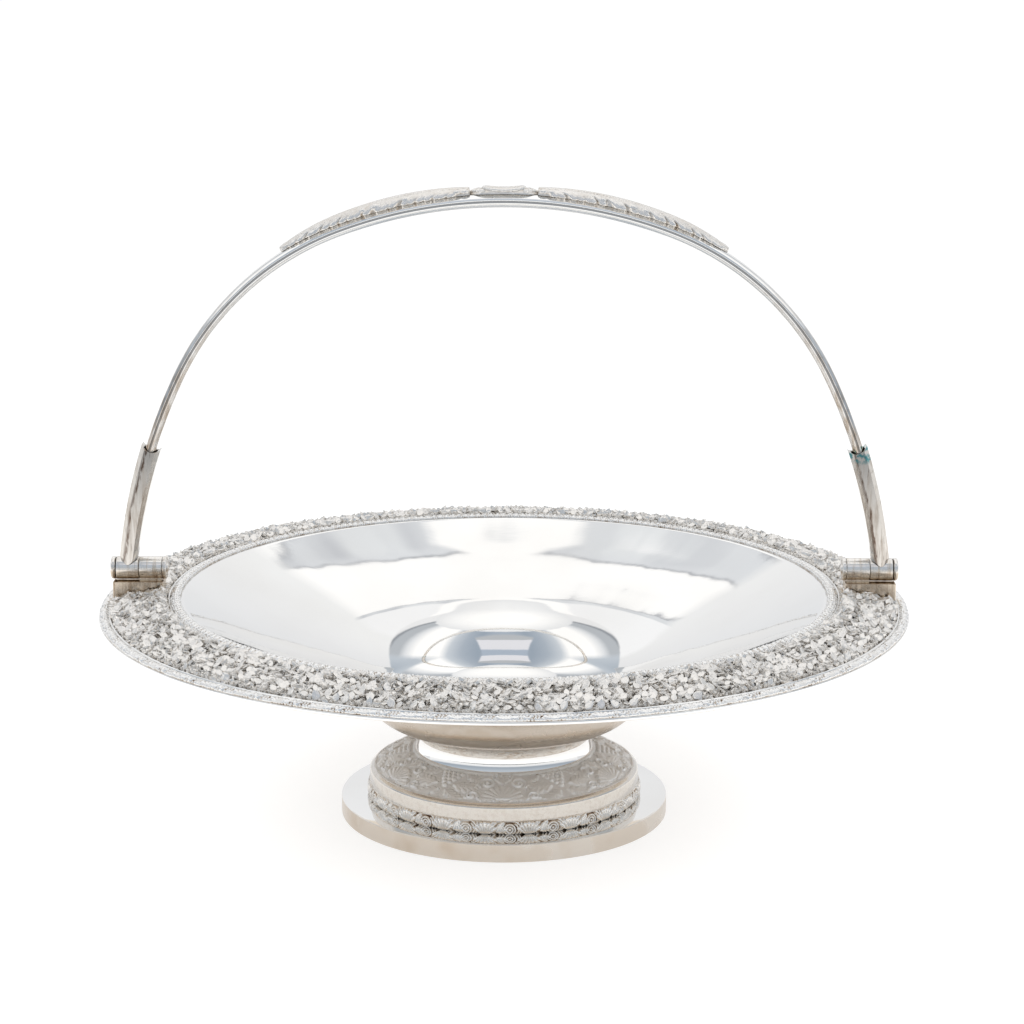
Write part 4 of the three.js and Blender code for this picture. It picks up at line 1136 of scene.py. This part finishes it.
class BASKET_OT_floral_band(bpy.types.Operator):
    """The wide applied band: flowers, pointed petals and small petals heaped over a ground"""
    bl_idname = "basket.floral_band"
    bl_label = "Floral band"
    bl_options = {"REGISTER", "UNDO"}

    def execute(self, context):
        sizes = context.scene.basket_sizes
        inner, outer = BAND_INNER_R, BAND_OUTER_R
        top = [(inner + BAND_SLOPE, BAND_HEIGHT), (outer - BAND_SLOPE, BAND_HEIGHT)]
        ground = [(inner, 0.1), (inner, 0.3), *top, (outer, 0.3), (outer, 0.1)]
        made = raw("rim_band_ground", *spun([(r, rim_z(r, h)) for r, h in ground], 320))
        heap_recess(made, 1.5, 3.2)
        finished(made, "cast silver", ["rim_floral_band"])
        motif = flower(sizes.flower / MM)
        chance = {"Density": 3e5, "Smallest": 0.75, "Largest": 1.05, "Tilt": 0.16}
        self.strew("rim_flowers", motif, 127.8, 142.8, 0.45, Spacing=sizes.flower_spacing, **chance)
        motif = pointed_petal(sizes.pointed / MM, 2.5, 1.7)
        chance = {"Density": 2e6, "Smallest": 0.75, "Largest": 1.15, "Tilt": 0.22}
        self.strew("rim_leaves", motif, 126.0, 144.6, 0.35, Spacing=sizes.pointed_spacing, **chance)
        motif = petal(sizes.small / MM, 1.7, 0.95, 0.25, 7, root=-0.6)
        chance = {"Density": 3e6, "Smallest": 0.7, "Largest": 1.15, "Tilt": 0.3}
        self.strew("rim_petals", motif, 125.3, 145.2, 0.1, Spacing=sizes.small_spacing, **chance)
        self.garland("rim_petals_outside", 142.9, outwards=1, count=150)
        self.garland("rim_petals_inside", 127.6, outwards=-1, count=130)
        return {"FINISHED"}

    def under_wedge(self, place):
        """True where a hinge's wedge hides the band."""
        return abs(place[1]) < BARREL_R + 1.2 and abs(place[0]) > SHOULDER_R

    def strew(self, name, motif, inner, outer, lift, **chance):
        """Strews a motif over the band between two radii, and keeps it off the wedges."""
        source = raw(f"{name}_motif", *motif)
        tidied(source.data, 40)
        r = np.array([inner, inner + BAND_SLOPE, outer - BAND_SLOPE, outer])
        t = np.linspace(0, math.tau, 257)[:-1]
        inwards = np.minimum(r - BAND_INNER_R, BAND_OUTER_R - r)
        up = lift + np.interp(inwards, (0.0, BAND_SLOPE), (0.3, BAND_HEIGHT))
        ring = np.stack([r[:, None] * np.cos(t), r[:, None] * np.sin(t), rim_z(r, up)[:, None] + 0 * t], 2)
        points, faces = skin(ring)
        faces = [face[::-1] for face in faces if not self.under_wedge(points[face].mean(0))]
        made = raw(name, points, faces)
        if made.data.polygons[0].normal.z < 0:
            made.data.flip_normals()
        seed = bpy.context.scene.basket_sizes.seed
        grown(made, strew_on_ground(), Motif=source, Seed=seed, Finish=finish("cast silver"), **chance)
        heap_recess(made, 1.6, 3.0)
        finished(made, "cast silver", tidy=False)
        made.data.shade_smooth()
        made.data.set_sharp_from_angle(angle=math.radians(42))
        bpy.data.objects.remove(source)

    def garland(self, name, r, outwards, count):
        """Small petals side by side along the band's edge, whose tips hang down to the wire."""
        chance = np.random.default_rng(11)
        step, forwards = math.tau / count, 0 if outwards > 0 else math.pi
        parts = []
        for i in range(3):
            size = chance.uniform(2.3, 2.9)
            points, faces = petal(size, 2.5, 1.0, 0.3, 7, turn=chance.uniform(-0.4, 0.4) + forwards)
            at, turn = r + outwards * chance.uniform(-0.3, 0.2), (i + 0.5) / 3 * step
            off = np.abs(points[:, 0])
            rr, aside = at + points[:, 0], points[:, 1]
            z = rim_z(rr, BAND_HEIGHT - 0.25) - 0.1 * off**2 + points[:, 2] * 0.9
            c, s = math.cos(turn), math.sin(turn)
            parts.append((np.stack([rr * c - aside * s, rr * s + aside * c, z], 1), faces))
        made = raw(name, *joined(*parts))
        grown(made, repeat_round_axis(), Count=count, Seam=0.0, Finish=finish("cast silver"))
        heap_recess(made, 0.4, 2.6)
        finished(made, "cast silver", angle=42)


class BASKET_OT_hinges(bpy.types.Operator):
    """Both hinges: wedges, knuckles, washers and pins"""
    bl_idname = "basket.hinges"
    bl_label = "Hinges"
    bl_options = {"REGISTER", "UNDO"}

    def execute(self, context):
        for side, word in ((1, "right"), (-1, "left")):
            self.bracket(side, word)
            self.moving_parts(side, word)
        return {"FINISHED"}

    def barrel(self, side, start, end, edge=0.22, steps=3):
        """A bored barrel on the hinge axis, between two places along it."""
        bore = 1.77
        outline = rounded([(start, bore), (start, BARREL_R), (end, BARREL_R), (end, bore)], edge, steps)
        return turned(outline, side)

    def bracket(self, side, word):
        """The wedge, its neck and the fixed knuckle, as one casting."""
        inner, outer, top = 126.8, 145.6, 88.975
        start, end = 127.4, 135.8
        outline = [(inner, rim_z(inner, 1.6)), (outer, rim_z(outer, 1.6)), (outer, top), (inner, top)]
        outline = rounded(outline, 0.4, 3)
        middle, half, bevel = outline.mean(0), BARREL_R, 0.3
        wedge = []
        for y, inset in ((-half, bevel), (-half + bevel, 0), (half - bevel, 0), (half, bevel)):
            shrunk = middle + (outline - middle) * (1 - inset / np.abs(outline - middle).max(0))
            wedge.append(np.stack([side * shrunk[:, 0], np.full(len(shrunk), side * y), shrunk[:, 1]], 1))
        low, high = top - 0.2, AXIS_Z - 3
        corners = ((start, low), (end, low), (end, high), (start, high))
        neck = [[(side * x, side * y, z) for x, z in corners] for y in (-2.5, 2.5)]
        whole = joined(skin(wedge, capped=True), skin(neck, capped=True), self.barrel(side, start, end))
        finished(raw(f"hinge_bracket_{word}_filed", *whole), "hinge silver", [f"hinge_bracket_{word}"])

    def moving_parts(self, side, word):
        """The moving knuckle, the washer and the pin with its domed head."""
        knuckle = raw(f"handle_knuckle_{word}_turned", *self.barrel(side, 136.0, 144.4))
        finished(knuckle, "hinge silver", [f"handle_knuckle_{word}"], body="handle")
        washer = raw(f"hinge_washer_{word}_turned", *self.barrel(side, 125.8, 127.3, 0.45, 4))
        finished(washer, "hinge silver", [f"hinge_washer_{word}"])
        shank, seat, crown = 1.6, 144.6, 146.5
        head = rounded([(seat, shank), (seat, BARREL_R), (crown, BARREL_R), (crown, 1.4)], 0.9, 6)[6:]
        shaft = [(125.2, 0), (125.2, 1.0), (125.5, 1.5), (125.9, shank), (seat, shank)]
        outline = [*shaft, (seat, BARREL_R - 0.2), *head.tolist(), (crown, 0)]
        pin = raw(f"hinge_pin_{word}_turned", *turned(outline, side))
        finished(pin, "hinge silver", [f"hinge_pin_{word}"])


class BASKET_OT_arms(bpy.types.Operator):
    """The bevelled socket tubes keep their CAD shape and get their worn finish"""
    bl_idname = "basket.arms"
    bl_label = "Arms"
    bl_options = {"REGISTER", "UNDO"}

    def execute(self, context):
        for word in ("right", "left"):
            arm = frame["nodes"][f"handle_arm_{word}"]
            arm.material_slots[0].material = finish("drawn silver")
        return {"FINISHED"}


class BASKET_OT_strap(bpy.types.Operator):
    """The arched strap with its bevelled edges"""
    bl_idname = "basket.strap"
    bl_label = "Strap"
    bl_options = {"REGISTER", "UNDO"}

    def execute(self, context):
        in_socket, flat, edge = 21.4, 0.62, 0.4
        end = LEG_LENGTH - ARM_L + in_socket
        upper = [(1, edge), (flat, 1), (-flat, 1), (-1, edge)]
        corners = np.array(upper + [(-y, -out) for y, out in upper])
        rings = []
        for s in np.linspace(-end, end, 200):
            width, thickness = strap_size(s)
            section = rounded(corners * (width / 2, thickness / 2), 0.5, 3)
            rings.append(across_arch(s, section))
        made = raw("handle_strap_forged", *skin(rings, capped=True))
        finished(made, "forged silver", ["handle_strap"], body="handle", angle=50)
        return {"FINISHED"}


class BASKET_OT_sprays(bpy.types.Operator):
    """The cast leaf sprays on the crown of the handle"""
    bl_idname = "basket.sprays"
    bl_label = "Sprays"
    bl_options = {"REGISTER", "UNDO"}

    def execute(self, context):
        start, field, run = 11.9, 71.0, 71.6
        for side, word in ((1, "right"), (-1, "left")):
            relief = Relief(field, 16.0, 0.3, repeats=False)
            self.cut(relief, np.random.default_rng(5 + side))
            columns = []
            for k, s in enumerate(relief.u[0]):
                t = s / field
                swell = max(math.sin(math.pi * (0.16 + 0.8 * t)) ** 0.42 if 0 < t < 1 else 0.12, 0.12)
                columns.append((side * (start + t * run), swell, relief.h[:, k] * swell))
            cast_on_strap(f"handle_spray_{word}", relief, columns, 4.8, 3.1, relief.recess(1.3, 5))
        return {"FINISHED"}

    def cut(self, relief, chance):
        """Long blades side by side, curled leaf tips along both edges, and buds."""
        middle = relief.breadth / 2
        t = np.linspace(0, 1, 60)
        for off in (-3.1, -1.6, 0.0, 1.6, 3.1):
            v = middle + off * np.sin(math.pi * (0.12 + 0.8 * t)) + 0.25 * np.sin(9 * t + off)
            relief.rise(np.stack([1 + 67 * t, v], 1), 0.85, 0.45, 3.0)
        t = np.linspace(0, 1, 12)
        for edge in (-1, 1):
            u = 2.0
            while u < 66:
                reach_out = chance.uniform(3.0, 5.2)
                line = np.stack([u + reach_out * t**0.7, middle + edge * (3.6 + 3.6 * t**1.3)], 1)
                relief.rise(line, 1.15 + 0.35 * t, 0.55 + 0.5 * t, 3.0)
                relief.sink(line[3:], 0.22, 0.2)
                u += chance.uniform(2.4, 3.8)
            for at, size in ((34.0, 1.9), (38.5, 1.3), (23.0, 1.4), (2.0, 1.6), (4.8, 1.4), (69.0, 1.5)):
                relief.rise([(at, middle + edge * 5.2)], size, 1.0 + 0.2 * size)
        relief.rise([(69.4, middle)], 2.2, 0.9)


class BASKET_OT_cartouche(bpy.types.Operator):
    """The blank oval with shells at its ends"""
    bl_idname = "basket.cartouche"
    bl_label = "Cartouche"
    bl_options = {"REGISTER", "UNDO"}

    def execute(self, context):
        half_field, half_run = 11.5, 12.2
        relief = Relief(2 * half_field, 13.0, 0.25, repeats=False)
        middle = relief.breadth / 2
        relief.rise(oval((half_field, middle), 6.6, 3.9, np.linspace(0, math.tau, 60)), 0.9, 0.9)
        for end, way, inwards in ((3.4, math.pi, 0.6), (19.6, 0.0, -0.6)):
            relief.fan((end, middle), way, 2.6, 3.2, 5, 0.7)
            for v in (-3.6, 3.6):
                relief.rise([(end + inwards, middle + v)], 1.2, 0.8)
        columns = []
        for k, u in enumerate(relief.u[0]):
            s = (u - half_field) * half_run / half_field
            swell = math.sqrt(max(1 - (abs(s) / half_run) ** 3.2, 0.03))
            columns.append((s, swell, relief.h[:, k]))
        cast_on_strap("handle_cartouche", relief, columns, 4.7, 2.1, relief.recess(1.6, 6))
        return {"FINISHED"}


class BASKET_OT_stage(bpy.types.Operator):
    """A white floor, studio light and the camera at the photograph's angle"""
    bl_idname = "basket.stage"
    bl_label = "Stage"
    bl_options = {"REGISTER", "UNDO"}

    def execute(self, context):
        scene = context.scene
        scene.view_settings.view_transform = "Standard"
        self.floor()
        self.sky(scene)
        for name, x in (("right softbox", 1.0), ("left softbox", -1.0)):
            light = bpy.data.lights.new(name, "AREA")
            light.shape = "RECTANGLE"
            light.size, light.size_y, light.energy = 0.42, 0.7, 6.0
            made = bpy.data.objects.new(name, light)
            made.visible_glossy = False
            made.location = (x, -0.26, 0.8)
            made.rotation_euler = (Vector((0, 0, 0.1)) - made.location).to_track_quat("-Z", "Y").to_euler()
            scene.collection.objects.link(made)
        self.camera(scene)
        return {"FINISHED"}

    def camera(self, scene):
        """The camera that was fitted to the photograph, 1 m from the axis."""
        picture, focal_length, sensor, shift = 1024, 2764, 36, 8
        turn, down, height = math.radians(0.6), 12.88, 0.3437
        camera = bpy.data.cameras.new("camera")
        camera.sensor_width = sensor
        camera.lens = focal_length / picture * sensor
        camera.shift_x = shift / picture
        made = bpy.data.objects.new("camera", camera)
        made.location = (math.sin(turn), -math.cos(turn), height)
        made.rotation_euler = (math.radians(90 - down), 0, turn)
        scene.collection.objects.link(made)
        scene.camera = made

    def floor(self):
        """White paper under the basket, grey far in front where metal mirrors it, and clear from below."""
        points = [(-6000, -6000, 0), (6000, -6000, 0), (6000, 9000, 0), (-6000, 9000, 0)]
        made = raw("floor", points, [[0, 1, 2, 3]])
        material, tree, place = started("white paper sweep")
        ahead = add(tree, AXES, {0: place}).outputs["Y"]
        path = add(tree, "ShaderNodeLightPath").outputs
        far = add(tree, RANGE, {0: ahead, 1: -0.45, 2: -0.65})
        gone = add(tree, MATH, {0: path["Is Glossy Ray"], 1: far}, operation="MULTIPLY")
        shade = {0: gone, 6: linear("#B4B4B4"), 7: linear("#93969A")}
        shade = add(tree, MIX, shade, data_type="RGBA")
        paper = add(tree, "ShaderNodeBsdfDiffuse", {"Color": shade})
        seen = {0: path["Is Camera Ray"], 1: path["Is Glossy Ray"]}
        seen = add(tree, MATH, seen, operation="MAXIMUM")
        seen = add(tree, MATH, {0: seen, 1: path["Is Transmission Ray"]}, operation="MAXIMUM")
        strength = add(tree, RANGE, {0: gone, 1: 0.0, 2: 1.0, 3: 0.66, 4: 0.02})
        strength = add(tree, MATH, {0: seen, 1: strength}, operation="MULTIPLY")
        glow = add(tree, "ShaderNodeEmission", {"Strength": strength})
        lit = add(tree, "ShaderNodeAddShader", {0: paper, 1: glow})
        from_below = add(tree, "ShaderNodeNewGeometry").outputs["Backfacing"]
        clear = add(tree, "ShaderNodeBsdfTransparent")
        sheet = add(tree, "ShaderNodeMixShader", {0: from_below, 1: lit, 2: clear})
        add(tree, "ShaderNodeOutputMaterial", {0: sheet})
        made.data.materials.append(material)

    def sky(self, scene):
        """White to the eye. In reflections, a white sweep between grey walls, and a dim room before it."""
        world = bpy.data.worlds.new("studio")
        scene.world = world
        world.use_nodes = True
        tree = world.node_tree
        tree.nodes.clear()
        way = add(tree, "ShaderNodeTexCoord").outputs["Generated"]
        ripple = add(tree, NOISE, {"Vector": way, "Scale": 16.0, "Detail": 4.0}).outputs["Color"]
        centred = {0: ripple, 1: (0.5, 0.5, 0.5)}
        ripple = add(tree, "ShaderNodeVectorMath", centred, operation="SUBTRACT")
        bent = {0: ripple, 1: (0.016, 0.016, 0.016), 2: way}
        bent = add(tree, "ShaderNodeVectorMath", bent, operation="MULTIPLY_ADD")
        x, y, z = add(tree, AXES, {0: bent}).outputs
        aside = add(tree, MATH, {0: x}, operation="ABSOLUTE")
        behind = add(tree, RANGE, {0: y, 1: 0.34, 2: 0.37})
        studio = {0: behind, 6: self.around(tree, aside, y, z), 7: self.sweep(tree, aside, x, z, bent)}
        studio = add(tree, MIX, studio, data_type="RGBA")
        high = add(tree, RANGE, {0: z, 1: 0.91, 2: 0.99})
        overhead = add(tree, RAMP, {0: high}, ((0.0, "#E1E3E6"), (0.9, "#FFFFFF")))
        ceiling = add(tree, RANGE, {0: z, 1: 0.913, 2: 0.917})
        studio = add(tree, MIX, {0: ceiling, 6: studio, 7: overhead}, data_type="RGBA")
        path = add(tree, "ShaderNodeLightPath").outputs
        lit = {0: path["Is Glossy Ray"], 6: linear("#E8E8E8"), 7: studio}
        lit = add(tree, MIX, lit, data_type="RGBA")
        shown = add(tree, MIX, {0: path["Is Camera Ray"], 6: lit, 7: WHITE}, data_type="RGBA")
        power = {0: path["Is Glossy Ray"], 1: 0.12, 2: 1.0}
        power = add(tree, MATH, power, operation="MULTIPLY_ADD")
        sky = add(tree, "ShaderNodeBackground", {"Color": shown, "Strength": power})
        add(tree, "ShaderNodeOutputWorld", {0: sky})

    def sweep(self, tree, aside, x, z, way):
        """Behind the basket: the arched white sweep with its wavy edge, and a grey wall beside it."""
        across = add(tree, MATH, {0: aside, 1: 0.268}, operation="DIVIDE")
        across = add(tree, MATH, {0: across, 1: 2.0}, operation="POWER")
        up = add(tree, MATH, {0: z, 1: 0.62}, operation="SUBTRACT")
        up = add(tree, MATH, {0: up, 1: 0.275}, operation="DIVIDE")
        edge = add(tree, MATH, {0: up, 1: up, 2: across}, operation="MULTIPLY_ADD")
        outwards = add(tree, RANGE, {0: edge, 1: 0.8, 2: 1.8})
        border = ((0.195, "#FDFDFD"), (0.215, "#93969D"), (0.24, "#DADDE1"))
        wall = add(tree, RAMP, {0: outwards}, border + ((0.43, "#DFE2E5"), (0.52, "#F1F2F4")))
        folds = add(tree, NOISE, {"Vector": way, "Scale": 7.0, "Detail": 3.0})
        shade = add(tree, RANGE, {0: folds, 1: 0.38, 2: 0.62})
        for place, start, end, least, most in (
            (x, -0.15, -0.3, 1.0, 0.45),
            (edge, 0.98, 1.15, 0.0, 1.0),
            (edge, 1.34, 1.24, 0.0, 1.0),
        ):
            share = add(tree, RANGE, {0: place, 1: start, 2: end, 3: least, 4: most})
            shade = add(tree, MATH, {0: shade, 1: share}, operation="MULTIPLY")
        wall = add(tree, MIX, {0: shade, 6: wall, 7: linear("#C2C5CB")}, data_type="RGBA")
        low = add(tree, RAMP, {0: z}, ((0.0, "#DADCDF"), (0.35, "#E4E5E7"), (0.6, "#ECEDEE")))
        tilted = add(tree, MATH, {0: x, 1: -0.2, 2: z}, operation="MULTIPLY_ADD")
        lower = add(tree, RANGE, {0: tilted, 1: 0.61, 2: 0.56})
        wall = add(tree, MIX, {0: lower, 6: wall, 7: low}, data_type="RGBA")
        top = add(tree, RANGE, {0: z, 1: 0.884, 2: 0.892})
        return add(tree, MIX, {0: top, 6: wall, 7: WHITE}, data_type="RGBA")

    def around(self, tree, aside, y, z):
        """Beside and before the basket: white softboxes, then a blue-grey room with a window."""
        level = add(tree, MATH, {0: z, 1: z}, operation="MULTIPLY")
        level = add(tree, MATH, {0: 1.0, 1: level}, operation="SUBTRACT")
        level = add(tree, MATH, {0: level, 1: 0.5}, operation="POWER")
        round_room = add(tree, MATH, {0: y, 1: level}, operation="DIVIDE")
        round_room = add(tree, RANGE, {0: round_room, 1: -1.0, 2: 1.0})
        front = ((0.0, "#A6B1BE"), (0.047, "#98A4B2"), (0.117, "#A8B2BE"), (0.2, "#C6CDD5"))
        softbox = ((0.26, "#FFFFFF"), (0.47, "#FFFFFF"), (0.56, "#DDE0E4"))
        back = ((0.62, "#B4B9BF"), (0.7, "#B4B9BF"), (0.73, "#8A8F96"), (0.76, "#E8E9EB"))
        room = add(tree, RAMP, {0: round_room}, front + softbox + back)
        window = ((0.6, "#A9B5C4"), (0.62, "#DFE0E6"), (0.79, "#DFE0E6"), (0.8, "#B5B9BE"))
        pane = add(tree, RAMP, {0: z}, window)
        beside = add(tree, RANGE, {0: aside, 1: 0.31, 2: 0.29})
        before = add(tree, RANGE, {0: y, 1: -0.45, 2: -0.5})
        inside = add(tree, MATH, {0: beside, 1: before}, operation="MULTIPLY")
        room = add(tree, MIX, {0: inside, 6: room, 7: pane}, data_type="RGBA")
        table = ((0.0, "#F4F5F6"), (0.09, "#E4E6E9"), (0.14, "#99A3AF"))
        low = add(tree, RAMP, {0: z}, table + ((0.3, "#B0B9C3"), (0.5, "#C4CBD3")))
        higher = add(tree, RANGE, {0: z, 1: 0.42, 2: 0.5})
        return add(tree, MIX, {0: higher, 6: low, 7: room}, data_type="RGBA")


PIECES = [
    BASKET_OT_plinth,
    BASKET_OT_foot_border,
    BASKET_OT_foot_dome,
    BASKET_OT_neck,
    BASKET_OT_bowl,
    BASKET_OT_rim_wires,
    BASKET_OT_rim_borders,
    BASKET_OT_floral_band,
    BASKET_OT_hinges,
    BASKET_OT_arms,
    BASKET_OT_strap,
    BASKET_OT_sprays,
    BASKET_OT_cartouche,
    BASKET_OT_stage,
]


class BASKET_PT_panel(bpy.types.Panel):
    """Lists the steps that build the basket"""
    bl_idname = "BASKET_PT_panel"
    bl_label = "Silver basket"
    bl_space_type = "VIEW_3D"
    bl_region_type = "UI"
    bl_category = "Basket"

    def draw(self, context):
        for group in (context.scene.basket_sizes, context.scene.basket_colours):
            for name in group.bl_rna.properties.keys():
                if name not in ("rna_type", "name"):
                    self.layout.prop(group, name)
        for step in PIECES:
            self.layout.operator(step.bl_idname)


CLASSES = [BasketSizes, BasketColours, *PIECES, BASKET_PT_panel]


def register():
    """Registers the classes, and gives the scene its two groups of properties."""
    for cls in CLASSES:
        bpy.utils.register_class(cls)
    bpy.types.Scene.basket_sizes = PointerProperty(type=BasketSizes)
    bpy.types.Scene.basket_colours = PointerProperty(type=BasketColours)


def unregister():
    """Takes away what register adds."""
    del bpy.types.Scene.basket_colours
    del bpy.types.Scene.basket_sizes
    for cls in reversed(CLASSES):
        bpy.utils.unregister_class(cls)


def main():
    """Builds every piece in order."""
    register()
    for step in PIECES:
        group, name = step.bl_idname.split(".")
        getattr(getattr(bpy.ops, group), name)()


if __name__ == "__main__":
    main()
